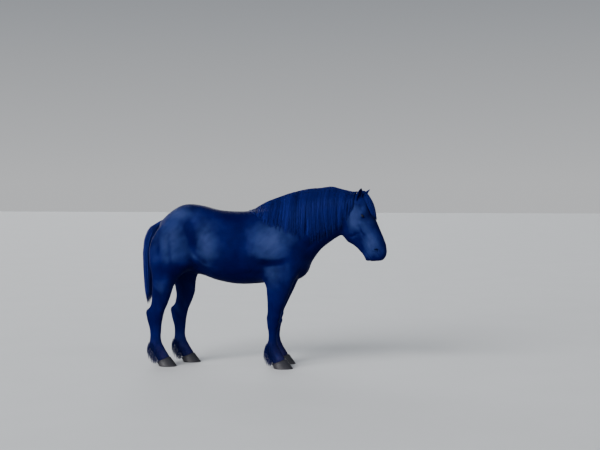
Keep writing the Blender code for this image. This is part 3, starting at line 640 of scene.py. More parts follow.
def nearestOn(u, v, line):
    # the shortest distance to a line of straight stretches, and how far along it that is met
    best, share = np.full(u.shape, np.inf), np.zeros(u.shape)
    for i, ((u0, v0), (u1, v1)) in enumerate(zip(line, line[1:])):
        du, dv = u1 - u0, v1 - v0
        t = np.clip(((u - u0) * du + (v - v0) * dv) / (du * du + dv * dv), 0, 1)
        far = np.hypot(u - u0 - t * du, v - v0 - t * dv)
        share = np.where(far < best, (i + t) / (len(line) - 1), share)
        best = np.minimum(best, far)
    return best, share


def creaseRise(u, v, line, half, rise):
    # rise * exp(-(distance to the line / half)^2), running out to nothing at both ends
    far, share = nearestOn(u, v, line)
    ends = ease(share, 0.0, 0.30) * ease(-share, -1.0, -0.70)
    return rise * ends * np.exp(-(far / half) ** 2)


def facings(points, ways):
    # how much each point faces each way, 0 to 1
    sideways = ways[:, 1] * np.sign(points[:, 1])
    return {
        "side": ease(np.abs(ways[:, 1]), 0.15, 0.65),
        "out": ease(sideways, 0.10, 0.65),
        "in": ease(-sideways, 0.10, 0.65),
        "both": ease(np.abs(ways[:, 1]), 0.10, 0.65),
        "front": ease(ways[:, 0], 0.20, 0.80),
        "back": ease(-ways[:, 0], 0.20, 0.80),
        "top": ease(ways[:, 2], 0.20, 0.80),
        "under": ease(-ways[:, 2], 0.20, 0.80),
    }


def unstepped(points):
    # where a point would be in the side view with the feet side by side
    x, y, z = points.T
    left = ease(y, 0.0, 0.02)
    fore = ease(x, -0.36, -0.30)
    return x - left * (fore * stepAt(z, "fore") + (1 - fore) * stepAt(z, "hind"))


def headShare(points):
    # 1 on the head, 0 on the neck, with a soft change behind the ears and the cheek
    along, out = headPlace(points)
    return ease(along - 0.55 * out, 0.060, 0.150) * ease(points[:, 0], 0.80, 0.90)


def broadRise(points, ways):
    # muscles and bones: the sum of all bumps and creases where they face the right way
    facing = facings(points, ways)
    x, z = unstepped(points), points[:, 2]
    onIt = headShare(points)
    body = sum(facing[way] * bumpRise(x, z, *form) for way, *form in bodyForms)
    body += relief["legs"] * sum(facing[way] * bumpRise(x, z, *form) for way, *form in legForms)
    body += sum(facing[way] * creaseRise(x, z, *form) for way, *form in bodyCreases)
    along, out = headPlace(points)
    face = sum(facing[way] * bumpRise(along, out, *form) for way, *form in headForms)
    face += sum(facing[way] * creaseRise(along, out, *form) for way, *form in headCreases)

    def furrow(name):
        # depth * exp(-(distance off the middle / half width)^2)
        half, depth = relief[name]
        return -depth * np.exp(-(points[:, 1] / half) ** 2)

    spine = ease(-x, 0.30, 0.52) * ease(x, -1.06, -0.98) * facing["top"]
    breast = ease(x, 0.30, 0.38) * ease(-z, -1.22, -1.12) * facing["front"]
    jaw = ease(along, 0.16, 0.24) * ease(-along, -0.50, -0.42) * ease(-out, 0.16, 0.24)
    body += furrow("spine") * spine + furrow("breast") * breast
    face += furrow("jaw") * jaw * facing["under"]
    return body * (1 - onIt) + face * onIt


def paintedLightOf(points, ways):
    # painted light on the coat: painted highlights where it is paler, painted shade where it is
    # darker, as the sum of the bumps and lines above, with more painted shade on what faces down
    facing = facings(points, ways)
    x, z = unstepped(points), points[:, 2]
    onIt = headShare(points)
    along, out = headPlace(points)
    body = sum(facing[way] * bumpRise(x, z, *form) for way, *form in paintedLightForms)
    body += sum(facing[way] * creaseRise(x, z, *form) for way, *form in paintedLightLines)
    face = sum(facing[way] * bumpRise(along, out, *form) for way, *form in paintedLightFace)
    return body * (1 - onIt) + face * onIt - 0.6 * ease(-ways[:, 2], 0.05, 0.7)


def softness(points):
    # how much the creases between the tubes are smoothed: most on the body
    body = ease(points[:, 2], 0.72, 0.98) * ease(-points[:, 0], -0.86, -0.62)
    return 0.5 * (0.10 + 0.90 * body)


def skinTubes():
    # trunk, neck, head and four legs as tubes that run into each other
    tubes = [
        ribTube("trunkTube", trunkRibs, 48),
        ribTube("neckTube", neckRibs, 40),
        ribTube("headTube", headRibsPlaced(headRibs), 40),
    ]
    for side in (-1, 1):
        for kind, ribs in (("fore", foreRibs), ("hind", hindRibs)):
            leg = ribTube("legTube", ribs, 32)
            tubes.append(setPoints(leg, stance(coordinates(leg), kind, side)))
            if side > 0:
                leg.data.flip_normals()
    return joinedTubes("skin", tubes)


nostrils = {  # on the head, with the slant of the opening and how its ends curl up
    "along": 0.548, "out": -0.052,
    "halfLength": 0.0235, "halfHeight": 0.0105, "slant": 38.0, "curl": 0.009,
    "depth": 0.026, "rim": 0.0040, "inward": (-0.62, -0.11, 0.80),  # along, out, to the middle
}

mouth = {  # the line of the lips on the head, half its width, its depth and the lips' own rise
    "line": ((0.522, -0.166), (0.552, -0.156), (0.590, -0.146), (0.660, -0.136)),
    "half": 0.0040, "depth": 0.0070, "lips": 0.0016,
}


def nearEyes(points, reach):
    # true within reach of an eye's middle
    return np.minimum(*(
        np.linalg.norm(points - onHead(eyes["along"], eyes["out"], side * eyes["side"]), axis=1)
        for side in (-1, 1)
    )) < reach


def nearMouth(points, reach):
    # round the line of the lips
    along, out = headPlace(points)
    return nearestOn(along, out, mouth["line"])[0] < reach


def nearNostrils(points, reach):
    # true within reach of a nostril's middle in the side view, off the middle of the nose
    along, out = headPlace(points)
    off = np.hypot(along - nostrils["along"], out - nostrils["out"])
    return (off < reach) & (np.abs(points[:, 1]) > 0.025)


def opened(points, ways):
    # nostrils and mouth: points pushed in, more towards the middle of each opening
    along, out = headPlace(points)
    side = np.sign(points[:, 1])
    angle = math.radians(nostrils["slant"])
    du, dv = along - nostrils["along"], out - nostrils["out"]
    a = (du * math.cos(angle) + dv * math.sin(angle)) / nostrils["halfLength"]
    b = dv * math.cos(angle) - du * math.sin(angle)
    b = (b + nostrils["curl"] * (a * a - 0.4)) / nostrils["halfHeight"]
    ring = np.sqrt(a * a + b * b)
    sideways = ease(np.abs(points[:, 1]), 0.022, 0.034) * headShare(points)
    hole = ease(-ring, -1.15, -0.55) * sideways
    rim = np.exp(-((ring - 1.45) / 0.42) ** 2) * sideways
    down, back, middle = nostrils["inward"]
    inward = down * alongHead + back * outHead - middle * side[:, None] * np.array([0.0, 1.0, 0.0])
    made = points + nostrils["depth"] * hole[:, None] * inward
    made = made + nostrils["rim"] * rim[:, None] * ways
    onIt = headShare(points)
    line, share = nearestOn(along, out, mouth["line"])
    lips = -mouth["depth"] * np.exp(-(line / mouth["half"]) ** 2)
    lips += mouth["lips"] * np.exp(-((line - 0.011) / 0.006) ** 2)
    lips *= ease(share, 0.0, 0.22)
    return made + (lips * onIt)[:, None] * ways


def eyeAxes(side):
    # the eye's middle, the way it looks, towards its inner corner and towards the upper lid
    def world(along, out, y):
        # a direction on the head as x, y and z
        return along * alongHead + out * outHead + np.array([0.0, side * y, 0.0])

    middle = onHead(eyes["along"], eyes["out"], side * eyes["side"])
    gaze = world(*eyes["gaze"])
    gaze /= np.linalg.norm(gaze)
    tilt = math.radians(eyes["tilt"])
    corner = world(math.cos(tilt), math.sin(tilt), 0.0)
    corner -= gaze * (corner @ gaze)
    corner /= np.linalg.norm(corner)
    upper = np.cross(gaze, corner) * -side
    if upper @ outHead < 0:
        upper = -upper
    return middle, gaze, corner, upper


def lidded(points):
    # skin drawn over each eyeball, then sunk behind it inside an almond between two arcs
    made = points.copy()
    ball = eyes["radius"]
    for side in (-1, 1):
        middle, gaze, corner, upper = eyeAxes(side)
        near = np.linalg.norm(points - middle, axis=1) < eyes["around"]
        local = points[near] - middle
        a, b, n = local @ corner, local @ upper, local @ gaze
        reach = np.hypot(a, b)
        n = n + eyes["socket"] * np.exp(-((reach - 0.026) / 0.006) ** 2) * ease(b, 0.0, 0.012)
        fold = np.exp(-((b - 0.0225 + 12 * a * a) / 0.0036) ** 2)
        n = n - eyes["fold"] * fold * ease(-np.abs(a), -0.026, -0.008)
        lid = ball + eyes["lid"] + eyes["over"] * ease(b, -0.004, 0.010)
        over = np.sqrt(np.clip(lid**2 - reach**2, 1e-8, None))
        blend = eyes["blend"]
        h = np.clip(0.5 + 0.5 * (over - n) / blend, 0, 1)
        n = np.where(reach < lid, n + (over - n) * h + blend * h * (1 - h), n)
        arc = np.clip(1 - (a / eyes["halfLength"]) ** 2, 0, None)
        top, bottom = eyes["upper"] * arc**0.85, -eyes["lower"] * arc**0.9
        inside = np.minimum(top - b, b - bottom)
        inside = np.where(np.abs(a) < eyes["halfLength"], inside, -0.01)
        snap = np.exp(-(inside / eyes["crisp"]) ** 2)
        toward = np.where(top - b < b - bottom, 1.0, -1.0)
        b = b + toward * inside * snap * 0.85
        sunk = np.sqrt(np.clip((ball - eyes["sunk"]) ** 2 - reach**2, 1e-8, None))
        gone = ease(inside, 0.0002, 0.0014)
        n = n + (np.minimum(sunk, n) - n) * gone
        made[near] = middle + a[:, None] * corner + b[:, None] * upper + n[:, None] * gaze
    return made


ears = {  # metres and degrees; the left one hangs out further
    "length": 0.156, "halfWidth": 0.037, "wall": 0.006,
    "along": 0.058, "out": -0.056, "side": 0.058,
    "spread": {-1: 12.0, 1: 26.0}, "forward": 14.0, "twist": 35.0,
}


def earFrame(side):
    # the turn and the root of an ear on the straight head
    def about(axis, degrees):
        # the matrix that turns about an axis
        c, s = math.cos(math.radians(degrees)), math.sin(math.radians(degrees))
        i, j = {"X": (1, 2), "Y": (2, 0), "Z": (0, 1)}[axis]
        turn = np.eye(3)
        turn[i, i], turn[j, j], turn[i, j], turn[j, i] = c, c, -s, s
        return turn

    turn = about("Y", ears["forward"]) @ about("X", -side * ears["spread"][side])
    turn = turn @ about("Z", side * ears["twist"])
    return turn, onHead(ears["along"], ears["out"], side * ears["side"])


def earPlaces(points):
    # the points as each ear has them: two directions across it, and up from its root
    for side in (-1, 1):
        turn, root = earFrame(side)
        yield ((points - root) @ turn).T


def nearEars(points):
    # 1 on the ears, from a little over their roots
    share = np.zeros(len(points))
    for x, y, z in earPlaces(points):
        share = np.maximum(share, ease(z, 0.0, 0.03) * ease(-np.hypot(x, y), -0.075, -0.060))
    return share


def earRoots(points):
    # a half round the ears' roots, less further up, down and aside
    share = np.zeros(len(points))
    for x, y, z in earPlaces(points):
        near = ease(-np.hypot(x, y), -0.062, -0.040)
        share = np.maximum(share, near * np.exp(-((z - 0.004) / 0.016) ** 2))
    return 0.5 * share


def earMesh(side):
    # rings of an outer arc and an inner one: half width (0.70 + 1.35t - 1.05t^2) * sqrt(1.02 - t),
    # the gap between the arcs' ends wider from the root up
    t = np.linspace(0, 1, 34)[:, None]
    half = ears["halfWidth"] * (0.70 + 1.35 * t - 1.05 * t * t) * np.sqrt(1.02 - t)
    inner = np.maximum(half - ears["wall"] * (1 - 0.35 * t), 0.3 * half)
    bend = 0.016 * np.sin(math.pi * t) - 0.010 * t
    wide = np.radians(150 - 32 * ease(t, 0.0, 0.35) - 10 * ease(t, 0.6, 1.0))
    arc = np.linspace(-1, 1, 17)[None, :]
    rim = (half + inner) / 2
    radius = np.hstack([half + 0 * arc, rim, inner + 0 * arc, rim])
    angle = np.hstack([wide * arc, wide * 1.04, wide * arc[:, ::-1], -wide * 1.04])
    x, y = -radius * 0.8 * np.cos(angle) - bend, radius * np.sin(angle)
    z = ears["length"] * t - 0.02 + 0 * angle
    turn, root = earFrame(side)
    return closedTube("ear", np.stack([x, y, z], -1) @ turn.T + root)


def withEars(skin):
    # each ear joined to the head, and the join eased
    for side in (-1, 1):
        pinna = earMesh(side)
        join = skin.modifiers.new("join", "BOOLEAN")
        join.solver = "EXACT"
        join.operation = "UNION"
        join.object = pinna
        applied(skin)
        bpy.data.objects.remove(pinna)
    return relaxed(skin, skinGrain["earRounds"], earRoots)


def makeSkin():
    # the tubes melted into one, smoothed, cut finer where it matters, then given its forms
    skin = skinTubes()
    remesh = skin.modifiers.new("melt", "REMESH")
    remesh.mode = "VOXEL"
    remesh.voxel_size = skinGrain["voxel"]
    relaxed(applied(skin), skinGrain["rounds"], softness)

    def fine(points):
        # true on the head and the lower legs
        legs = ease(-points[:, 2], -0.72, -0.70)
        return (headShare(points) > 0.3) | (legs > 0.5)

    refined(skin, fine)
    relaxed(skin, skinGrain["fineRounds"], lambda p: fine(p) * (0.16 + 0.34 * headShare(p)))
    for eye, nostril, lips in skinGrain["finer"]:
        refined(skin, lambda p: nearEyes(p, eye) | nearNostrils(p, nostril) | nearMouth(p, lips))
    relaxed(skin, skinGrain["lipRounds"], lambda p: 0.5 * nearMouth(p, 0.016))
    points = coordinates(skin)
    ways = normalsOf(skin)
    rise = broadRise(points, ways) - skinGrain["coatDepth"]
    setPoints(skin, points + rise[:, None] * ways)
    setPoints(skin, opened(coordinates(skin), normalsOf(skin)))
    setPoints(skin, lidded(coordinates(skin)))
    return withEars(skin)


lie = {  # ways as x, y and z, heights in metres
    "body": (-0.62, 0.0, -0.78), "back": (-0.96, 0.0, -0.28),
    "chest": (0.0, 0.0, -1.0), "legs": (-0.10, 0.0, -1.0),
    "elbow": 0.82,  # where the grain's own slope meets the upright grain of the legs
}


def lieWay(points, ways):
    # the way the coat lies: back and down on neck and trunk, along the face, down the legs,
    # less whatever part of it points out of the skin
    onIt = headShare(points)[:, None]
    legs = ease(-points[:, 2], -0.95, -0.70)[:, None]
    chest = (ease(points[:, 0], 0.30, 0.42) * ease(-points[:, 2], -1.30, -1.10))[:, None]
    back = ease(points[:, 2], 1.30, 1.48)[:, None] * ease(-points[:, 0], -0.02, 0.10)[:, None]
    way = np.array(lie["body"])
    for part, share in (("back", back), ("chest", chest), ("legs", legs)):
        way = way * (1 - share) + np.array(lie[part]) * share
    way = way * (1 - onIt) + alongHead * onIt
    way = way - ways * np.einsum("ij,ij->i", way, ways)[:, None]
    return way / np.maximum(np.linalg.norm(way, axis=1), 1e-6)[:, None]


def lieCoordinates(points):
    # distances along the coat and across it, for the grain: a slope over neck and trunk that
    # turns upright down the legs, meeting it at the elbow's height, and the head's own two
    x, y, z = points.T
    back, _, down = lie["body"]
    legs = ease(-z, -0.95, -0.70)
    u = back * x + down * z - (1 + down) * (z - lie["elbow"]) * legs
    v = -down * x + back * (z + (lie["elbow"] - z) * legs)
    pollX, _, pollZ = pollPoint
    along, out = headPlace(points)
    onIt = headShare(points) > 0.5
    u = np.where(onIt, along + back * pollX + down * pollZ, u)
    v = np.where(onIt, out - down * pollX + back * pollZ, v)
    return np.stack([u, v, y], -1)


unwrapCharts = {  # an axis in the side view, how far off the middle it runs, and its patch
    "trunk": ((-1.15, 1.18), (0.48, 1.18), 0.0, (0.01, 0.01), (0.60, 0.42)),
    "neck": ((0.05, 1.25), (0.88, 1.52), 0.0, (0.01, 0.45), (0.60, 0.26)),
    "head": ((0.90, 1.62), (1.16, 0.98), 0.0, (0.01, 0.73), (0.60, 0.26)),
    "foreRight": ((0.10, 0.95), (0.10, 0.00), -0.165, (0.63, 0.01), (0.17, 0.46)),
    "foreLeft": ((0.08, 0.95), (0.08, 0.00), 0.165, (0.82, 0.01), (0.17, 0.46)),
    "hindRight": ((-1.00, 0.95), (-1.00, 0.00), -0.155, (0.63, 0.50), (0.17, 0.46)),
    "hindLeft": ((-1.00, 0.95), (-1.00, 0.00), 0.155, (0.82, 0.50), (0.17, 0.46)),
}


def unwrapped(points):
    # each region rolled out: the angle round its axis across its patch, the way along it up
    x, y, z = points.T
    low, fore = z < 0.88, x > -0.35
    where = {
        "foreRight": low & fore & (y < 0), "foreLeft": low & fore & (y >= 0),
        "hindRight": low & ~fore & (y < 0), "hindLeft": low & ~fore & (y >= 0),
        "head": headShare(points) > 0.5,
    }
    where["neck"] = ~low & ~where["head"] & (x - 0.02 > (1.60 - z) * 0.60)
    where["trunk"] = ~low & ~where["head"] & ~where["neck"]
    made = np.zeros((len(points), 2))
    for name, (start, end, off, corner, size) in unwrapCharts.items():
        chosen = where[name]
        dx, dz = end[0] - start[0], end[1] - start[1]
        length = math.hypot(dx, dz)
        px, pz = x[chosen] - start[0], z[chosen] - start[1]
        along = np.clip((px * dx + pz * dz) / length**2, 0, 1)
        aside = (pz * dx - px * dz) / length
        angle = np.arctan2(y[chosen] - off, aside) / (2 * math.pi) + 0.5
        made[chosen, 0] = corner[0] + size[0] * angle
        made[chosen, 1] = corner[1] + size[1] * along
    return made


def giveUv(obj, flat):
    # the same place on the unwrap for every corner that meets at a point
    layer = obj.data.uv_layers.new(name="OFBake")
    corners = np.empty(len(obj.data.loops), dtype=np.int32)
    obj.data.loops.foreach_get("vertex_index", corners)
    layer.data.foreach_set("uv", flat[corners].astype(np.float32).ravel())


def giveValue(obj, name, values):
    # one number, or three, kept at every point of the mesh under a name
    kind, key = ("FLOAT_VECTOR", "vector") if values.ndim > 1 else ("FLOAT", "value")
    layer = obj.data.attributes.new(name, kind, "POINT")
    layer.data.foreach_set(key, values.astype(np.float32).ravel())


rodCorners = np.array([(1.0, -0.33), (-1.0, -0.33), (0.0, 0.67)])  # across, out
patch = 0.003  # of the unwrap that a strand or a tuft has


def strandPiece(name, paths, outs, half, flat, tone):
    # a three-sided rod along each path (strand, step, xyz): its half width swells by
    # 0.55 + 1.3s - 1.2s^2 and is drawn to a point over the last third
    count, steps = paths.shape[:2]
    s = np.linspace(0, 1, steps)
    swell = (0.55 + 1.3 * s - 1.2 * s * s) * (1 - 0.75 * ease(s, 0.60, 1.0))
    tangent = unit(np.gradient(paths, axis=1))
    across = unit(np.cross(tangent, outs))
    up = np.cross(across, tangent)
    width = half[:, None] * swell
    rings = paths[:, :-1, None, :] + width[:, :-1, None, None] * (
        rodCorners[:, 0, None] * across[:, :-1, None, :]
        + flat * rodCorners[:, 1, None] * up[:, :-1, None, :]
    )
    perStrand = (steps - 1) * 3 + 1
    points = np.concatenate([rings.reshape(count, -1, 3), paths[:, -1:, :]], 1)
    first = np.arange(count)[:, None, None] * perStrand
    corner = np.arange(3)
    after = (corner + 1) % 3
    end = (steps - 2) * 3
    quads = (first + gridFaces(steps - 1, 3)[None]).reshape(-1, 4)
    tips = np.stack([end + corner, end + after, np.full(3, perStrand - 1)], -1)
    cap = np.array([[2, 1, 0]])
    tris = (first + np.vstack([tips, cap])[None]).reshape(-1, 3)
    flatPoints = points.reshape(-1, 3)
    made = meshObject(name, placed(flatPoints), outward(flatPoints, [quads, tris]))
    alongIt = np.concatenate([np.repeat(s[:-1], 3), [1.0]])
    acrossIt = np.concatenate([np.tile([0.0, 0.5, 1.0], steps - 1), [0.5]])
    roots = unwrapped(paths[:, 0])[:, None, :]
    giveUv(made, (roots + patch * np.stack([acrossIt, alongIt], -1)[None]).reshape(-1, 2))
    giveValue(made, "along", np.tile(alongIt, count))
    giveValue(made, "tone", np.repeat(tone.ravel(), perStrand))
    made.data.materials.append(longHair)
    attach(made, "root")
    print(name + ":", count, "strands")


def fed(tree, node, inputs):
    # a node's inputs by name or number, each a fixed value or another node's output
    for label, value in inputs.items():
        if isinstance(value, bpy.types.NodeSocket):
            tree.links.new(value, node.inputs[label])
        else:
            node.inputs[label].default_value = value
    return node


def addNode(tree, kind, inputs, **settings):
    # a new shader node with its settings, then its inputs
    node = tree.nodes.new("ShaderNode" + kind)
    for label, value in settings.items():
        setattr(node, label, value)
    return fed(tree, node, inputs)


def makeGroup(name, inputs, outputs):
    # a shader node group with named number or vector sockets, and its two ends
    tree = bpy.data.node_groups.new(name, "ShaderNodeTree")
    for label, kind, value in inputs:
        socket = tree.interface.new_socket(label, in_out="INPUT", socket_type=kind)
        if value is not None:
            socket.default_value = value
    for label in outputs:
        tree.interface.new_socket(label, in_out="OUTPUT", socket_type="NodeSocketFloat")
    return tree, tree.nodes.new("NodeGroupInput").outputs, tree.nodes.new("NodeGroupOutput")


def makeHairGrain():
    # noise drawn out along the lie for single hairs, and slow noise for the tone
    tree, start, end = makeGroup("hairGrain", (
        ("Vector", "NodeSocketVector", None),
        ("Stretch", "NodeSocketVector", (40.0, 700.0, 700.0)),
        ("Patches", "NodeSocketFloat", 5.0),
    ), ("Grain", "Tone"))
    drawn = addNode(
        tree, "VectorMath", {0: start["Vector"], 1: start["Stretch"]}, operation="MULTIPLY")
    fine = addNode(
        tree, "TexNoise", {"Vector": drawn.outputs["Vector"], "Scale": 1.0, "Detail": 3.0})
    slow = addNode(
        tree, "TexNoise", {"Vector": start["Vector"], "Scale": start["Patches"], "Detail": 4.0})
    fed(tree, end, {"Grain": fine.outputs["Fac"], "Tone": slow.outputs["Fac"]})
    return tree


def makeDust():
    # dry soil on the lowest stretch of the legs: a fade with height * noise * amount
    tree, start, end = makeGroup("legDust", (
        ("Vector", "NodeSocketVector", None),
        ("Top", "NodeSocketFloat", 0.35),
        ("Amount", "NodeSocketFloat", 0.5),
    ), ("Dust",))
    height = addNode(tree, "SeparateXYZ", {"Vector": start["Vector"]}).outputs["Z"]
    fade = addNode(
        tree, "MapRange", {"Value": height, "From Max": start["Top"], "To Min": 1.0, "To Max": 0.0})
    noise = addNode(tree, "TexNoise", {"Vector": start["Vector"], "Scale": 23.0, "Detail": 6.0})
    broken = addNode(
        tree, "Math", {0: fade.outputs["Result"], 1: noise.outputs["Fac"]}, operation="MULTIPLY")
    much = addNode(
        tree, "Math", {0: broken.outputs["Value"], 1: start["Amount"]}, operation="MULTIPLY")
    fed(tree, end, {"Dust": much.outputs["Value"]})
    return tree


hairGrain = makeHairGrain()
legDust = makeDust()


def newMaterial(name, surface):
    # a material, its nodes and its shader, which has these fixed values
    material = bpy.data.materials.new(name)
    material.use_nodes = True
    tree = material.node_tree
    return material, tree, fed(tree, tree.nodes["Principled BSDF"], surface)


def kept(tree, name, output="Fac"):
    # what the mesh keeps at its points under a name
    return addNode(tree, "Attribute", {}, attribute_name=name).outputs[output]


def ownPlace(tree):
    # the place in the object's own coordinates
    return addNode(tree, "TexCoord", {}).outputs["Object"]


def ranged(tree, value, fromLow, fromHigh, toLow, toHigh):
    # toLow at fromLow, toHigh at fromHigh, straight between them and level past them
    return addNode(tree, "MapRange", {
        "Value": value, "From Min": fromLow, "From Max": fromHigh, "To Min": toLow, "To Max": toHigh,
    }).outputs["Result"]


def productAndSum(tree, one, other, more):
    # one * other + more
    inputs = {0: one, 1: other, 2: more}
    return addNode(tree, "Math", inputs, operation="MULTIPLY_ADD").outputs["Value"]


def blendColours(tree, factor, first, second):
    # a mix of two colours, each a value or another node's output
    mix = addNode(tree, "Mix", {"Factor": factor}, data_type="RGBA")
    for socket, colour in zip([s for s in mix.inputs if s.type == "RGBA"], (first, second)):
        if isinstance(colour, tuple):
            socket.default_value = (*colour, 1.0)
        else:
            tree.links.new(colour, socket)
    return [s for s in mix.outputs if s.type == "RGBA"][0]


def grained(tree, vector, stretch, patches):
    # single hairs or fibres and slow patches of tone over a vector
    inputs = {"Vector": vector, "Stretch": stretch, "Patches": patches}
    return addNode(tree, "Group", inputs, node_tree=hairGrain).outputs


def soiled(tree, colour, look):
    # the colour under soil that thins out with height
    inputs = {"Vector": ownPlace(tree), "Top": look["soilTop"], "Amount": look["soilAmount"]}
    dust = addNode(tree, "Group", inputs, node_tree=legDust)
    return blendColours(tree, dust.outputs["Dust"], colour, look["soil"])


def raised(tree, height, strength, distance):
    # the normal of a surface with that height on it
    inputs = {"Height": height, "Strength": strength, "Distance": distance}
    return addNode(tree, "Bump", inputs).outputs["Normal"]


coatLook = {
    # the pale blue colour is that of painted highlights and the shade colour that of painted shade;
    # dark and light are the coat's own tones
    "dark": (0.0010, 0.0018, 0.038), "light": (0.0022, 0.0044, 0.066),
    "paintedLight": (0.027, 0.044, 0.140), "shade": (0.0005, 0.0006, 0.036),
    "soil": (0.050, 0.042, 0.040), "soilTop": 0.30, "soilAmount": 0.55,
    "hairs": (36.0, 620.0, 620.0), "patches": 4.5,  # to the metre, along the lie first
    "streaks": (9.0, 22.0, 22.0), "streakPatches": 9.0,  # the same, for streaks that break up the painted highlights and painted shade
    "streakGain": (0.78, 1.14), "streakShift": (-0.15, 0.15),
    "roughness": (0.40, 0.58), "bump": (0.35, 0.0012),  # strength, distance
    "surface": {
        "Specular IOR Level": 0.015, "Specular Tint": (0.40, 0.55, 1.0, 1.0),
        "Sheen Weight": 0.008, "Sheen Roughness": 0.40, "Sheen Tint": (0.20, 0.36, 1.0, 1.0),
    },
}


def coatMaterial():
    # black hair along the lie, with painted highlights and painted shade broken into streaks, soil
    # low on the legs
    look = coatLook
    material, tree, shader = newMaterial("blackCoat", look["surface"])
    place = kept(tree, "lie", "Vector")
    hairs = grained(tree, place, look["hairs"], look["patches"])
    streaks = grained(tree, place, look["streaks"], look["streakPatches"])
    gain = ranged(tree, streaks["Grain"], 0.3, 0.7, *look["streakGain"])
    shift = ranged(tree, streaks["Tone"], 0.3, 0.7, *look["streakShift"])
    # the painted highlights and painted shade, broken into streaks
    streakedPaintedLight = productAndSum(tree, gain, kept(tree, "paintedLight"), shift)
    tone = ranged(tree, hairs["Tone"], 0.35, 0.70, 0.0, 1.0)
    colour = blendColours(tree, tone, look["dark"], look["light"])
    # painted highlight where the painted light is above nought, painted shade where it is below
    pale = ranged(tree, streakedPaintedLight, 0.0, 1.15, 0.0, 1.0)
    dim = ranged(tree, streakedPaintedLight, 0.0, -0.7, 0.0, 1.0)
    colour = blendColours(tree, pale, colour, look["paintedLight"])
    colour = blendColours(tree, dim, colour, look["shade"])
    fed(tree, shader, {
        "Base Color": soiled(tree, colour, look),
        "Roughness": ranged(tree, hairs["Grain"], 0.3, 0.7, *look["roughness"]),
        "Normal": raised(tree, hairs["Grain"], *look["bump"]),
    })
    return material


hairLook = {
    "root": (0.0008, 0.0018, 0.054), "tip": (0.0090, 0.0125, 0.150), "tipGain": 0.45,
    "fibres": (420.0, 420.0, 18.0), "patches": 9.0,
    "roughness": (0.36, 0.54), "bump": (0.30, 0.001),
    "surface": {
        "Specular IOR Level": 0.12, "Specular Tint": (0.24, 0.42, 1.0, 1.0),
        "Sheen Weight": 0.02, "Sheen Tint": (0.12, 0.32, 1.0, 1.0),
    },
}


def hairMaterial():
    # long hair, each strand with its own tone and paler towards its tip
    look = hairLook
    material, tree, shader = newMaterial("longHair", look["surface"])
    tone = kept(tree, "tone")
    fibres = grained(tree, ownPlace(tree), look["fibres"], look["patches"])
    paler = productAndSum(tree, kept(tree, "along"), look["tipGain"], tone)
    mixed = ranged(tree, paler, 0.15, 1.35, 0.0, 1.0)
    fed(tree, shader, {
        "Base Color": blendColours(tree, mixed, look["root"], look["tip"]),
        "Roughness": ranged(tree, tone, 0.0, 1.0, *look["roughness"]),
        "Normal": raised(tree, fibres["Grain"], *look["bump"]),
    })
    return material


hornLook = {
    "dark": (0.004, 0.004, 0.009), "light": (0.011, 0.011, 0.019), "ring": (0.008, 0.008, 0.014),
    "soil": (0.042, 0.037, 0.038), "soilTop": 0.05, "soilAmount": 0.5,
    "fibres": (260.0, 260.0, 14.0), "patches": 30.0, "fibreGain": 0.12,
    "rings": {"Scale": 26.0, "Distortion": 0.5, "Detail": 0.0},
    "roughness": (0.42, 0.68), "bump": (0.30, 0.0008),
}


def hoofMaterial():
    # grey-black horn: rings across, fine fibres down, soil on the lowest part
    look = hornLook
    material, tree, shader = newMaterial("hoofHorn", {})
    fibres = grained(tree, ownPlace(tree), look["fibres"], look["patches"])
    inputs = {"Vector": ownPlace(tree), **look["rings"]}
    rings = addNode(tree, "TexWave", inputs, bands_direction="Z").outputs["Fac"]
    tone = ranged(tree, fibres["Tone"], 0.3, 0.7, 0.0, 1.0)
    horn = blendColours(tree, tone, look["dark"], look["light"])
    ringed = blendColours(tree, rings, horn, look["ring"])
    height = productAndSum(tree, fibres["Grain"], look["fibreGain"], rings)
    fed(tree, shader, {
        "Base Color": soiled(tree, ringed, look),
        "Roughness": ranged(tree, fibres["Grain"], 0.3, 0.7, *look["roughness"]),
        "Normal": raised(tree, height, *look["bump"]),
    })
    return material


eyeLook = {
    "iris": ((0.0014, 0.0014, 0.0040), (0.0044, 0.0036, 0.0070)), "irisEdge": (0.60, 0.72),
    "pupil": (0.0006, 0.0007, 0.0020), "pupilShape": (1.0, 2.1, 0.0), "pupilEdge": (0.34, 0.42),
    "white": (0.0016, 0.0018, 0.0050),
    "surface": {
        "Roughness": 0.30, "Specular IOR Level": 0.08, "Specular Tint": (0.5, 0.7, 1.0, 1.0),
        "Coat Weight": 0.28, "Coat IOR": 1.38, "Coat Roughness": 0.03,
    },
}


def eyeMaterial():
    # a near-black iris round a pupil that lies long, under a wet coat
    look = eyeLook
    material, tree, shader = newMaterial("wetEye", look["surface"])
    gaze = kept(tree, "gaze", "Vector")

    def within(vector, edge):
        # 0 where the vector is shorter than the edge's start, 1 past its end
        length = addNode(tree, "VectorMath", {0: vector}, operation="LENGTH").outputs["Value"]
        return ranged(tree, length, *edge, 0.0, 1.0)

    inputs = {0: gaze, 1: look["pupilShape"]}
    long = addNode(tree, "VectorMath", inputs, operation="MULTIPLY").outputs["Vector"]
    rays = addNode(tree, "TexNoise", {"Vector": gaze, "Scale": 14.0, "Detail": 5.0}).outputs["Fac"]
    iris = blendColours(tree, rays, *look["iris"])
    coloured = blendColours(tree, within(long, look["pupilEdge"]), look["pupil"], iris)
    whole = blendColours(tree, within(gaze, look["irisEdge"]), coloured, look["white"])
    fed(tree, shader, {"Base Color": whole})
    return material


blackCoat = coatMaterial()
longHair = hairMaterial()
hoofHorn = hoofMaterial()
wetEye = eyeMaterial()

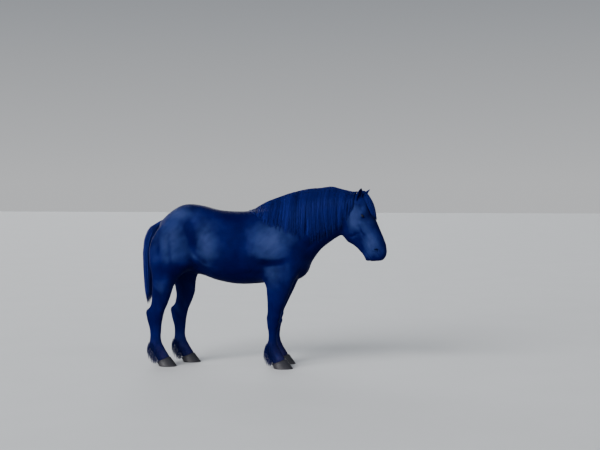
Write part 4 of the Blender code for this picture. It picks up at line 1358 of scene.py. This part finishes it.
skin = makeSkin()
straight, straightWays = coordinates(skin), normalsOf(skin)
skinTree = BVHTree.FromObject(skin, bpy.context.evaluated_depsgraph_get())
skin.data.calc_loop_triangles()
skinTriangles = np.empty(len(skin.data.loop_triangles) * 3, dtype=np.int32)
skin.data.loop_triangles.foreach_get("vertices", skinTriangles)
skinTriangles = skinTriangles.reshape(-1, 3)
setPoints(skin, placed(straight))
giveUv(skin, unwrapped(straight))
giveValue(skin, "lie", lieCoordinates(straight))
# painted highlights and painted shade kept on the skin for the coat's colour
skinPaintedLight = paintedLightOf(straight, straightWays)
giveValue(skin, "paintedLight", skinPaintedLight)
skin.data.materials.clear()
skin.data.materials.append(blackCoat)
skin.data.shade_smooth()
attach(skin, "root")
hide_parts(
    "head", "neck", "trunk", "foreleg_right", "foreleg_left",
    "hindleg_right", "hindleg_left", "ear_right", "ear_left",
)
print("skin:", len(skinTriangles), "triangles")


sideNames = {-1: "Right", 1: "Left"}


def eyeball(side):
    # a ball round the gaze: R * (sin(p) cos(t), sin(p) sin(t), cos(p)), its front raised 4%
    middle, gaze, corner, upper = eyeAxes(side)
    t = np.linspace(0, 2 * math.pi, 40, endpoint=False)[None, :]
    p = np.linspace(0.06, math.pi - 0.06, 28)[:, None]
    radius = (eyes["radius"] - eyes["gap"]) * (1 + 0.04 * ease(-p, -0.75, -0.10))
    flat = np.stack([np.sin(p) * np.cos(t), np.sin(p) * np.sin(t), np.cos(p) + 0 * t], -1)
    local = radius[..., None] * flat
    points = middle + local @ np.stack([corner, upper, gaze])
    made = closedTube("eyeball" + sideNames[side], placed(points))
    poles = np.array([(0.0, 0.0, 1.0), (0.0, 0.0, -1.0)])
    look = np.vstack([flat.reshape(-1, 3), poles])
    look[look[:, 2] < 0, :2] = 0.9
    giveValue(made, "gaze", look * (1.0, 1.0, 0.0))
    made.data.materials.append(wetEye)
    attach(made, "root")
    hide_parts("eye_left" if side > 0 else "eye_right")


hoofShapes = {  # top at toe and heel in the side view, half width of the top and of the sole
    "fore": ((0.232, 0.094), (0.098, 0.046), 0.063, 0.076),
    "hind": ((-0.902, 0.094), (-1.028, 0.046), 0.060, 0.072),
}
hoofWall = {  # slopes in degrees, then how far bulbs, rings and the band at the top stand out
    "toe": 54.0, "heel": 68.0, "bulb": 0.004, "rings": 1 / 120, "band": 0.025,
}


def hoof(kind, side):
    # sole ring to top ring in straight walls, with growth rings, a swollen band under the
    # hair and two bulbs at the heel
    toeTop, heelTop, topHalf, soleHalf = hoofShapes[kind]
    toe = toeTop[0] + toeTop[1] / math.tan(math.radians(hoofWall["toe"]))
    heel = heelTop[0] + heelTop[1] / math.tan(math.radians(hoofWall["heel"]))
    angle = np.linspace(0, 2 * math.pi, 72, endpoint=False)[None, :]
    ahead = np.cos(angle)
    outline = np.sign(np.sin(angle)) * np.abs(np.sin(angle)) ** 0.9 * (1 - 0.08 * ahead)
    share = (ahead + 1) / 2
    levels = np.array([0.0, 0.02, 0.06] + list(np.linspace(0.12, 1.0, 23)))[:, None]
    topX = heelTop[0] + share * (toeTop[0] - heelTop[0])
    topZ = heelTop[1] + share * (toeTop[1] - heelTop[1])
    soleX = heel + share * (toe - heel)
    x = soleX + (topX - soleX) * levels
    y = outline * (soleHalf + (topHalf - soleHalf) * levels)
    z = topZ * levels
    middleX = x.mean(1, keepdims=True)
    grow = 1 + hoofWall["rings"] * np.sin(levels * 44 + 0.5 * np.sin(3 * angle))
    grow = grow * (1 - 0.03 * ease(-levels, -0.06, 0.0))
    grow = grow * (1 + hoofWall["band"] * np.exp(-((levels - 0.90) / 0.06) ** 2))
    grow = grow * (1 - 0.10 * ease(levels, 0.93, 1.0))
    bulbs = np.exp(-((np.abs(angle - math.pi) - 0.42) / 0.28) ** 2) * ease(levels, 0.3, 0.8)
    cleft = np.exp(-((angle - math.pi) / 0.16) ** 2) * ease(levels, 0.1, 0.6)
    x = middleX + (x - middleX) * grow - hoofWall["bulb"] * (bulbs - 1.5 * cleft)
    points = stance(np.stack([x, -y * grow, z], -1), kind, side)
    made = closedTube(kind + "Hoof" + sideNames[side], placed(points))
    made.data.materials.append(hoofHorn)
    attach(made, "root")
    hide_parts(f"{kind}_hoof_" + ("left" if side > 0 else "right"))


for side in (-1, 1):
    eyeball(side)
    for kind in hoofShapes:
        hoof(kind, side)
print("eyes and hooves")

mane = {
    # up the neck from the withers: along, height of the crest, how far the hair hangs and
    # how high it stands over the crest
    "rows": (
        (-0.155, 1.488, 0.006, 0.001),
        (-0.100, 1.503, 0.040, 0.007),
        (-0.045, 1.524, 0.110, 0.025),
        (0.020, 1.547, 0.190, 0.038),
        (0.100, 1.578, 0.270, 0.037),
        (0.230, 1.628, 0.385, 0.034),
        (0.330, 1.655, 0.465, 0.034),
        (0.440, 1.680, 0.520, 0.031),
        (0.550, 1.692, 0.520, 0.024),
        (0.660, 1.694, 0.460, 0.040),
        (0.760, 1.680, 0.370, 0.026),
        (0.850, 1.660, 0.280, 0.022),
        (0.910, 1.650, 0.200, 0.022),
    ),
    "depth": 0.030, "over": 0.060, "lift": 0.006,  # thickness, past the crest, off the skin
    "locks": 58, "strands": 52, "steps": 10, "half": 0.0024, "inset": 0.018,
    "overLocks": 90, "overStrands": 36, "overHalf": 0.62, "overInset": 0.010,
    "leftStrands": 620,
    "drift": 0.016, "sway": (0.003, 0.010),  # of a lock, by the mane's length along the crest
    "shorter": 0.28, "rear": 0.045,  # how much shorter a lock may be, how far in the rear one ends
}


def skinTop(x, y=0.0):
    # the height of the skin's top
    hit = skinTree.ray_cast(Vector((x, y, 3.0)), Vector((0, 0, -1)))[0]
    return hit.z


def skinReach(x, z, side):
    # how far the skin stands out sideways at a place in the side view, 0 past its outline
    hit = skinTree.ray_cast(Vector((x, 3.0 * side, z)), Vector((0, -side, 0)))[0]
    return max(0.0, hit.y * side) if hit else 0.0


def blurred(grid, rounds):
    # each row and column eased towards its neighbours, the edges kept
    for _ in range(rounds):
        grid[1:-1] += 0.25 * (grid[2:] + grid[:-2] - 2 * grid[1:-1])
        grid[:, 1:-1] += 0.25 * (grid[:, 2:] + grid[:, :-2] - 2 * grid[:, 1:-1])
    return grid


def maneSurface():
    # the outside of the hair as a grid: place along the crest, and -1 at the end of the left
    # side, 0 on top, 1 at the tips on the right; the hair hangs from the widest place it met
    rows = np.array(mane["rows"])
    xs = np.linspace(rows[0, 0], rows[-1, 0], 56)
    downs = np.linspace(-1, 1, 57)
    points = np.empty((len(xs), len(downs), 3))
    for i, x in enumerate(xs):
        crest, hang, rise = (np.interp(x, rows[:, 0], column) for column in rows[:, 1:].T)
        top = max(skinTop(x), crest) + mane["lift"]
        right, left = downs[downs >= 0], -downs[downs < 0]
        reach = np.array([skinReach(x, top - 0.006 - hang * f, -1) for f in right])
        reach = np.maximum.accumulate(reach)
        depth = min(rise, mane["depth"]) * np.sqrt(1.08 - right)
        out = (reach + depth) * np.sqrt(ease(right, -0.004, 0.10))
        height = top + rise * (1 - ease(right, 0, 0.12)) - hang * right
        otherOut = -mane["over"] * left
        other = np.array([skinTop(x, -across) for across in otherOut])
        otherHeight = other + (top + rise - skinTop(x)) * (1 - 0.8 * ease(left, 0, 0.8))
        points[i, :, 0] = x
        points[i, :, 1] = -np.concatenate([otherOut, out])
        points[i, :, 2] = np.concatenate([otherHeight, height])
    return blurred(points, 3)


def gridWays(grid):
    # the way out of a grid of points: the product of its two directions
    return unit(np.cross(np.gradient(grid, axis=0), np.gradient(grid, axis=1)))


def fromGrid(grid, u, v):
    # between the four grid points round a place given by two shares
    rows, columns = grid.shape[:2]
    i, j = np.clip(u, 0, 1) * (rows - 1), np.clip(v, 0, 1) * (columns - 1)
    i0, j0 = np.minimum(i.astype(int), rows - 2), np.minimum(j.astype(int), columns - 2)
    a, b = (i - i0)[..., None], (j - j0)[..., None]
    low = grid[i0, j0] * (1 - a) + grid[i0 + 1, j0] * a
    high = grid[i0, j0 + 1] * (1 - a) + grid[i0 + 1, j0 + 1] * a
    return low * (1 - b) + high * b


def underHair(name, rings, along):
    # the dark body under the strands of a piece of hair
    made = closedTube(name, rings)
    points = coordinates(made)
    setPoints(made, placed(points))
    giveUv(made, unwrapped(points))
    giveValue(made, "tone", np.full(len(points), 0.3))
    giveValue(made, "along", np.full(len(points), along))
    made.data.materials.append(longHair)
    return made


def maneUnder(grid, ways):
    # a closed sheet under the strands: the grid drawn in, with its own folds down the hair
    u, v = np.meshgrid(np.linspace(0.01, 0.99, 200), np.linspace(0.12, 0.84, 60), indexing="ij")
    folds = 0.5 + 0.28 * np.sin(u * 260 + 2 * np.sin(v * 5 + u * 31))
    folds = folds + 0.22 * np.sin(u * 517 + v * 3)
    middle, out = fromGrid(grid, u, v), fromGrid(ways, u, v)
    hem = ease(v, 0.56, 0.84)
    outer = middle - out * (0.009 + 0.005 * folds + 0.012 * hem)[..., None]
    inner = middle - out * 0.024
    made = underHair("maneUnder", np.concatenate([outer, inner[:, ::-1]], axis=1), 0.3)
    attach(made, "root")
    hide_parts("mane")


def forEach(values, per):
    # a column with each lock's number once for every strand in it
    return np.repeat(values, per)[:, None]


def maneStrands(name, grid, ways, locks, per, half, depth, seed):
    # strands in locks: each runs down the grid, sways, and closes on the middle of its lock
    rng = np.random.default_rng(seed)
    s = np.linspace(0, 1, mane["steps"])[None, :]
    middle = (np.arange(locks) + rng.uniform(0.1, 0.9, locks)) / locks
    drift = rng.normal(0.0, mane["drift"], locks)
    length = 1.05 - mane["shorter"] * rng.random(locks) ** 1.3
    layer = rng.random(locks)
    phase = rng.random(locks) * 6.3
    sway = rng.uniform(*mane["sway"], locks)
    wide = 0.62 / locks * rng.uniform(0.7, 1.4, locks)
    count = locks * per
    middle, drift, length, layer, phase, sway, wide = (
        forEach(values, per) for values in (middle, drift, length, layer, phase, sway, wide)
    )
    start = middle + wide * rng.normal(0, 1.0, (count, 1))
    tip = middle + drift + wide * rng.normal(0, 0.50, (count, 1))
    u = start + (tip - start) * s**1.15 + sway * np.sin(4.2 * s + phase) * s
    rear = mane["rear"] * rng.random((count, 1)) ** 2
    u = rear + np.abs(u - rear)
    root = 0.500 + rng.uniform(-0.090, -0.010, (count, 1))
    end = 0.5 + 0.5 * length * (1 - 0.26 * rng.random((count, 1)) ** 1.5)
    v = root + (end - root) * s**1.1
    bulge = 1 - np.minimum(np.abs(start - middle) / (2.2 * wide), 1.0) ** 2
    inset = depth * (1.0 - 0.55 * layer - 0.45 * bulge) + 0.004 * rng.random((count, 1))
    inset = inset * ease(s, 0.02, 0.35) + 0.010 * (1 - ease(s, 0.0, 0.09))
    inset = inset + (0.007 * rng.random((count, 1)) + 0.010 * ease(s, 0.6, 1.0)) * s
    paths = fromGrid(grid, u, v)
    outs = fromGrid(ways, u, v)
    paths = paths - outs * inset[..., None]
    tone = 0.75 * forEach(rng.random(locks), per) + 0.25 * rng.random((count, 1))
    strandPiece(name, paths, outs, half * rng.uniform(0.55, 1.2, count), 0.5, tone)


def maneLeft(grid, ways):
    # shorter strands that fell to the left of the crest
    rng = np.random.default_rng(12)
    count = mane["leftStrands"]
    s = np.linspace(0, 1, 8)[None, :]
    start = rng.random((count, 1))
    u = start + rng.normal(0, 0.012, (count, 1)) * s
    v = 0.5 + rng.uniform(0.0, 0.03, (count, 1))
    v = v + (rng.uniform(0.06, 0.36, (count, 1)) - v) * s
    outs = fromGrid(ways, u, v)
    paths = fromGrid(grid, u, v) - outs * (0.004 * rng.random((count, 1)) * s)[..., None]
    half = mane["half"] * rng.uniform(0.5, 1.1, count)
    strandPiece("maneLeft", paths, outs, half, 0.42, rng.random(count))


maneGrid = maneSurface()
maneWays = gridWays(maneGrid)
if maneWays[28, 45, 1] > 0:  # on the right side, out of the hair is towards -Y
    maneWays = -maneWays
maneUnder(maneGrid, maneWays)
maneStrands(
    "maneHair", maneGrid, maneWays,
    mane["locks"], mane["strands"], mane["half"], mane["inset"], 11,
)
maneStrands(
    "maneOver", maneGrid, maneWays,
    mane["overLocks"], mane["overStrands"], mane["overHalf"] * mane["half"], mane["overInset"], 13,
)
maneLeft(maneGrid, maneWays)


def shellPaths(rows, q, theta, rho):
    # points inside a ribbed tube: share along it, angle round it, share of its thickness
    return ribPoint(rowsAt(rows, q), theta, rho)


def shellOuts(rows, q, theta):
    # the way out of the tube there
    return unit(shellPaths(rows, q, theta, 1.0) - shellPaths(rows, q, theta, 0.2))


def hairCore(name, rows, rho, last, node):
    # the tube drawn in, so that nothing shows between the strands
    theta = np.linspace(0, 2 * math.pi, 48, endpoint=False)
    q = np.linspace(0.03, last, 60)
    narrow = 1 - 0.9 * ease(q, 0.5 * last, last)
    folds = narrow[:, None, None] + 0.05 * np.sin(11 * theta)[None, :, None]
    middle = ribPoint(rowsAt(rows, q)[:, None, :], theta[None, :], 0.0)
    rings = ribPoint(rowsAt(rows, q)[:, None, :], theta[None, :], rho)
    made = underHair(name, middle + (rings - middle) * folds, 0.4)
    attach(made, "root")
    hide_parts(node)


forelock = {
    "locks": 22, "strands": 40, "steps": 10, "half": 0.0018, "flat": 0.42,
    "spread": 0.30, "starts": (0.10, 0.26), "ends": (0.74, 0.99),  # by the tube's own length
}
tail = {
    "locks": 70, "strands": 36, "steps": 12, "half": 0.0028, "flat": 0.42,
    "twist": 0.35, "spread": 0.26, "starts": (0.03, 0.34), "shorter": 0.22,
}


def forelockStrands():
    # from the poll down the forehead, in locks that close towards their tips
    rng = np.random.default_rng(21)
    rows = spreadRibs(headRibsPlaced(forelockRibs), skinGrain["ribStep"])
    hairCore("forelockUnder", rows, 0.62, 0.66, "forelock")
    locks, per = forelock["locks"], forelock["strands"]
    count = locks * per
    s = np.linspace(0, 1, forelock["steps"])[None, :]
    middle = forEach(np.radians(rng.uniform(5, 175, locks)), per)
    spread = rng.normal(0, forelock["spread"], (count, 1))
    theta = middle + spread * (1 - 0.75 * s)
    end = forEach(rng.uniform(*forelock["ends"], locks), per) * rng.uniform(0.94, 1.0, (count, 1))
    start = rng.uniform(*forelock["starts"], (count, 1))
    q = start + (end - start) * s
    rho = (0.62 + 0.40 * rng.random((count, 1)) ** 0.6) * (1 - 0.10 * s)
    paths = shellPaths(rows, q, theta, rho)
    half = forelock["half"] * rng.uniform(0.6, 1.2, count)
    tone = 0.4 * np.repeat(rng.random(locks), per) + 0.2 * rng.random(count)
    outs = shellOuts(rows, q, theta)
    strandPiece("forelockHair", paths, outs, half, forelock["flat"], tone)


def tailStrands():
    # from the dock outwards, then down inside the tail's own outline, in twisting locks
    rng = np.random.default_rng(22)
    rows = spreadRibs(tailRibs, skinGrain["ribStep"])
    hairCore("tailUnder", rows, 0.70, 0.84, "tail")
    locks, per = tail["locks"], tail["strands"]
    count = locks * per
    s = np.linspace(0, 1, tail["steps"])[None, :]

    middle = forEach(rng.uniform(0, 2 * math.pi, locks), per)
    turn = forEach(rng.normal(0, tail["twist"], locks), per)
    theta = middle + turn * s + rng.normal(0, tail["spread"], (count, 1)) * (1 - 0.6 * s)
    start = forEach(rng.uniform(*tail["starts"], locks), per)
    start = start + rng.uniform(-0.02, 0.02, (count, 1))
    end = forEach(0.995 - tail["shorter"] * rng.random(locks) ** 1.5, per)
    end = end * rng.uniform(0.88, 1.0, (count, 1))
    q = start + (end - start) * s
    rho = forEach(rng.uniform(0.74, 1.0, locks), per) + rng.normal(0, 0.04, (count, 1))
    rho = rho * (0.55 + 0.45 * ease(s, 0.0, 0.22)) + 0.05 * np.sin(7 * s + 3 * middle) * s
    rho = rho * (1 - 0.22 * forEach(rng.random(locks), per) * s * s)
    paths = shellPaths(rows, q, theta, rho)
    half = tail["half"] * rng.uniform(0.6, 1.2, count)
    tone = 0.6 * np.repeat(rng.random(locks), per) + 0.4 * rng.random(count)
    strandPiece("tailHair", paths, shellOuts(rows, q, theta), half, tail["flat"], tone)


forelockStrands()
tailStrands()

feather = {  # longer hair behind the fetlocks and over the hooves
    "fore": (foreRibs, 0.115), "hind": (hindRibs, 0.120),  # the leg it is on, its length
    "low": (0.835, 0.975), "strands": 1300, "steps": 6, "half": 0.0010, "flat": 0.45,
    "away": (0.07, 0.19), "stand": 0.008, "tone": (-0.25, 0.15),
    "lock": (0.30, 0.020), "close": 0.75,  # a lock's reach round and down, how far it closes
}


def featherStrands():
    # roots round the back and sides of the fetlock, each strand leaving its leg and falling
    rng = np.random.default_rng(31)
    s = np.linspace(0, 1, feather["steps"])[None, :, None]
    allPaths, allOuts, allHalves = [], [], []
    for kind in ("fore", "hind"):
        ribs, longest = feather[kind]
        rows = spreadRibs(ribs, skinGrain["ribStep"])
        for side in (-1, 1):
            count = feather["strands"]
            q = rng.uniform(*feather["low"], count)
            back = rng.normal(0, 0.85, count)
            theta = -math.pi / 2 + back
            roots = stance(ribPoint(rowsAt(rows, q), theta, 0.97), kind, side)
            beyond = stance(ribPoint(rowsAt(rows, q), theta, 1.3), kind, side)
            out = unit((beyond - roots) * (1, 1, 0))
            length = longest * rng.uniform(0.55, 1.0, count) * np.exp(-((back / 1.6) ** 2))
            length = np.minimum(length, np.maximum(roots[:, 2] - 0.018, 0.012))
            away = rng.uniform(*feather["away"], count)
            fall = np.array([0.0, 0.0, -1.0]) * s * length[:, None, None]
            leave = out[:, None, :] * (length * away)[:, None, None] * (1 - (1 - s) ** 2)
            stand = feather["stand"] * np.exp(-((back / 0.9) ** 2))
            leave = leave + out[:, None, :] * stand[:, None, None] * ease(s, 0.0, 0.3)
            paths = roots[:, None, :] + fall + leave
            paths[:, :, :2] += rng.normal(0, 0.004, (count, 1, 2)) * s
            cell = np.stack([back / feather["lock"][0], q / feather["lock"][1]], 1)
            members, lock = np.unique(np.floor(cell).astype(int), axis=0, return_inverse=True)
            lock = lock.ravel()
            tips = np.zeros((len(members), 3))
            np.add.at(tips, lock, paths[:, -1])
            tips /= np.bincount(lock)[:, None]
            shift = (tips[lock] - paths[:, -1]) * (1, 1, 0.3)
            paths += feather["close"] * shift[:, None, :] * s**1.6
            allPaths.append(paths)
            allOuts.append(np.repeat(out[:, None, :], feather["steps"], 1))
            allHalves.append(feather["half"] * rng.uniform(0.6, 1.1, count))
    half = np.concatenate(allHalves)
    tone = rng.uniform(*feather["tone"], len(half))
    paths, outs = np.concatenate(allPaths), np.concatenate(allOuts)
    strandPiece("feather", paths, outs, half, feather["flat"], tone)


featherStrands()

coat = {  # short tufts all over the skin
    "tufts": 29000,  # in each piece
    "length": {"body": 0.019, "belly": 0.030, "legs": 0.013, "face": 0.0075, "muzzle": 0.0045,
               "ear": 0.0040},
    "slender": 0.055, "unruly": 0.10,  # half width over length, how far off the lie
    "clear": {"hooves": 0.055, "eyes": 0.006, "nostrils": 0.020, "lips": 0.006},  # kept free
    "rise": (0.020, 0.065),  # of the tip over the skin, by the length: open body, broken outline
    "root": 0.0012, "waist": 0.40, "proud": 0.0002,  # how deep, how far along, how far off the skin
}


def underMane(points):
    # true where the hanging hair covers the skin
    rows = np.array(mane["rows"])
    x, y, z = points.T
    crest, hang = np.interp(x, rows[:, 0], rows[:, 1]), np.interp(x, rows[:, 0], rows[:, 2])
    inRange = (x > rows[0, 0]) & (x < rows[-1, 0])
    return inRange & (y < 0.03) & (z > crest - 0.72 * hang)


def outlineShare(points, ways):
    # more tufts where the coat breaks the form: under jaw and throat, breast, elbow, belly,
    # flank, the backs of the legs and the buttocks
    x, z = points[:, 0], points[:, 2]
    onIt = headShare(points)
    out = headPlace(points)[1]
    under = ease(-ways[:, 2], 0.1, 0.6)
    share = 1.0 + 1.2 * under * (1 - onIt)
    share += 1.2 * ease(-ways[:, 0], 0.3, 0.8) * ease(-z, -0.9, -0.5)
    share += 0.8 * ease(ways[:, 0], 0.3, 0.8) * ease(x, 0.2, 0.4) * (1 - onIt)
    share += 1.5 * onIt * ease(-out, 0.20, 0.30)
    return share


def tuftPlaces(rng, chosen):
    # places strewn over the chosen skin by its area, the way out of it at each, and how much
    # each is on the head and on the muzzle
    corners = straight[skinTriangles]
    middle = corners.mean(1)
    area = np.linalg.norm(
        np.cross(corners[:, 1] - corners[:, 0], corners[:, 2] - corners[:, 0]), axis=1
    ) / 2
    faceWays = unit(straightWays[skinTriangles].mean(1))
    along = headPlace(middle)[0]
    onIt = headShare(middle)
    weight = area * outlineShare(middle, faceWays) * chosen(middle) * ~underMane(middle)
    clear = coat["clear"]
    weight *= (middle[:, 2] > clear["hooves"]) * (1 + 1.5 * onIt)
    weight *= ~nearEyes(middle, eyes["radius"] + clear["eyes"])
    weight *= ~(nearNostrils(middle, clear["nostrils"]) & (along > 0.5))
    weight *= ~(nearMouth(middle, clear["lips"]) & (onIt > 0.5))
    count = coat["tufts"]
    total = np.cumsum(weight)
    face = np.searchsorted(total, rng.random(count) * total[-1])
    a, b = rng.random((2, count, 1))
    a, b = np.where(a + b > 1, 1 - a, a), np.where(a + b > 1, 1 - b, b)
    three = straight[skinTriangles[face]]
    points = three[:, 0] + a * (three[:, 1] - three[:, 0]) + b * (three[:, 2] - three[:, 0])
    threeWays = straightWays[skinTriangles[face]]
    ways = unit(threeWays[:, 0] * (1 - a - b) + threeWays[:, 1] * a + threeWays[:, 2] * b)
    return points, ways, onIt[face], (onIt * ease(along, 0.46, 0.54))[face]


def tuftLengths(rng, points, ways, onIt, muzzle):
    # the body's length, drawn part by part towards the others' by how much each tuft is there
    legs = ease(-points[:, 2], -0.85, -0.55)
    belly = ease(-ways[:, 2], 0.3, 0.8) * (1 - onIt) * (1 - legs)
    belly = belly * ease(-points[:, 0], -0.60, -0.36)
    shares = {"belly": belly, "legs": legs, "face": onIt, "muzzle": muzzle, "ear": nearEars(points)}
    length = coat["length"]["body"]
    for part, share in shares.items():
        length = length + (coat["length"][part] - length) * share
    return (length * rng.uniform(0.7, 1.2, len(points)))[:, None]


def coatTufts(name, chosen, seed):
    # each tuft a thin spindle with its root in the skin, a flat three-cornered waist and a
    # tip a little off the skin, along the lie
    rng = np.random.default_rng(seed)
    points, ways, onIt, muzzle = tuftPlaces(rng, chosen)
    count = len(points)
    way = lieWay(points, ways)
    way = unit(way + coat["unruly"] * rng.normal(size=way.shape))
    way = unit(way - ways * np.einsum("ij,ij->i", way, ways)[:, None])
    across = np.cross(ways, way)
    length = tuftLengths(rng, points, ways, onIt, muzzle)
    half = length * coat["slender"]
    breaks = ease(outlineShare(points, ways), 1.1, 2.2)[:, None]
    rise = coat["rise"][0] + (coat["rise"][1] - coat["rise"][0]) * breaks
    lift = length * rise * rng.uniform(0.6, 1.5, (count, 1))
    root = points - coat["root"] * ways
    waist = points + coat["waist"] * length * way + coat["proud"] * ways
    tip = points + length * way + lift * ways
    made = np.stack([
        root, waist + half * across, waist - half * across, waist + 0.05 * half * ways, tip,
    ], 1)
    faces = np.array([(0, 1, 3), (0, 3, 2), (0, 2, 1), (4, 3, 1), (4, 2, 3), (4, 1, 2)])
    faces = (np.arange(count)[:, None, None] * 5 + faces[None]).reshape(-1, 3)
    flatPoints = made.reshape(-1, 3)
    piece = meshObject(name, placed(flatPoints), outward(flatPoints, [faces]))
    aside = np.array([0.0, 0.22, -0.22, 0.0, 0.0])[None, :, None] * across[:, None, :]
    shown = unit(ways[:, None, :] + aside).reshape(-1, 3)
    piece.data.normals_split_custom_set_from_vertices(turnedWays(flatPoints, shown).tolist())
    spots = np.array([(0.5, 0.0), (1.0, 0.4), (0.0, 0.4), (0.5, 0.4), (0.5, 1.0)])
    giveUv(piece, (unwrapped(points)[:, None, :] + patch * spots[None]).reshape(-1, 2))
    giveValue(piece, "lie", lieCoordinates(flatPoints))
    # the same painted highlights and painted shade as on the skin under each tuft
    giveValue(piece, "paintedLight", np.repeat(paintedLightOf(points, ways), 5))
    piece.data.materials.append(blackCoat)
    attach(piece, "root")
    print(name + ":", count, "tufts")


def onBody(points):
    # true on neck and trunk
    return (headShare(points) <= 0.5) & (points[:, 2] > 0.8)


coatTufts("coatHead", lambda p: headShare(p) > 0.5, 41)
coatTufts("coatRight", lambda p: onBody(p) & (p[:, 1] < 0), 42)
coatTufts("coatLeft", lambda p: onBody(p) & (p[:, 1] >= 0), 43)
coatTufts("coatLegs", lambda p: p[:, 2] <= 0.8, 44)

view = {
    "azimuth": 8.0, "elevation": 2.0, "distance": 11.5,
    "aim": (0.349, 0.0, 1.363), "width": 5.76,  # metres seen across at the horse
}


def awayFrom(azimuth, elevation):
    # the way from the horse towards that place in the sky, 0 being on its right
    a, e = math.radians(azimuth), math.radians(elevation)
    return Vector((math.sin(a) * math.cos(e), -math.cos(a) * math.cos(e), math.sin(e)))


def makeCamera():
    # lens = sensor * distance / width seen, looking at the aim
    data = bpy.data.cameras.new("camera")
    data.sensor_width = 36.0
    data.lens = 36.0 * view["distance"] / view["width"]
    made = bpy.data.objects.new("camera", data)
    bpy.context.collection.objects.link(made)
    back = awayFrom(view["azimuth"], view["elevation"])
    made.location = Vector(view["aim"]) + back * view["distance"]
    made.rotation_euler = (-back).to_track_quat("-Z", "Y").to_euler()
    bpy.context.scene.camera = made


# the sky's colour near the ground and above, and the share of the way up where they meet
studio = {"low": (0.56, 0.57, 0.585), "high": (0.21, 0.23, 0.26), "fade": 0.22}

lights = (  # name, azimuth and elevation it shines from, strength, spread in degrees, colour
    ("key", -32.0, 26.0, 4.9, 40.0, (1.0, 0.99, 0.98)),
    ("fill", 62.0, 24.0, 0.55, 50.0, (0.92, 0.96, 1.0)),
    ("back", 205.0, 14.0, 1.8, 50.0, (0.95, 0.98, 1.0)),
)


def makeLights():
    # broad suns, and a sky that pales towards the ground
    for name, azimuth, elevation, strength, spread, colour in lights:
        data = bpy.data.lights.new(name, "SUN")
        data.energy, data.angle, data.color = strength, math.radians(spread), colour
        made = bpy.data.objects.new(name, data)
        bpy.context.collection.objects.link(made)
        back = awayFrom(azimuth, elevation)
        made.location = 12 * back
        made.rotation_euler = (-back).to_track_quat("-Z", "Y").to_euler()
    world = bpy.data.worlds.new("studio")
    bpy.context.scene.world = world
    world.use_nodes = True
    tree = world.node_tree
    place = addNode(tree, "TexCoord", {}).outputs["Generated"]
    height = addNode(tree, "SeparateXYZ", {"Vector": place}).outputs["Z"]
    share = ranged(tree, height, 0.0, studio["fade"], 0.0, 1.0)
    colour = blendColours(tree, share, studio["low"], studio["high"])
    fed(tree, tree.nodes["Background"], {"Color": colour, "Strength": 1.0})


floorLook = {
    "reach": 60, "dark": (0.56, 0.57, 0.58), "light": (0.60, 0.61, 0.62), "patches": 1.2,
    "surface": {"Roughness": 0.8},
}


def makeFloor():
    # a wide pale sheet, plain but for the faintest unevenness
    s = np.linspace(-floorLook["reach"], floorLook["reach"], 15)
    x, y = np.meshgrid(s, s, indexing="ij")
    points = np.stack([x, y, 0 * x], -1).reshape(-1, 3)
    made = meshObject("floor", points, [gridFaces(15, 15, closed=False)])
    if made.data.polygons[0].normal.z < 0:
        made.data.flip_normals()
    material, tree, shader = newMaterial("paleFloor", floorLook["surface"])
    inputs = {"Vector": ownPlace(tree), "Scale": floorLook["patches"]}
    noise = addNode(tree, "TexNoise", inputs).outputs["Fac"]
    fed(tree, shader, {
        "Base Color": blendColours(tree, noise, floorLook["dark"], floorLook["light"]),
    })
    made.data.materials.append(material)


makeCamera()
makeLights()
makeFloor()
print("camera, lights and floor")
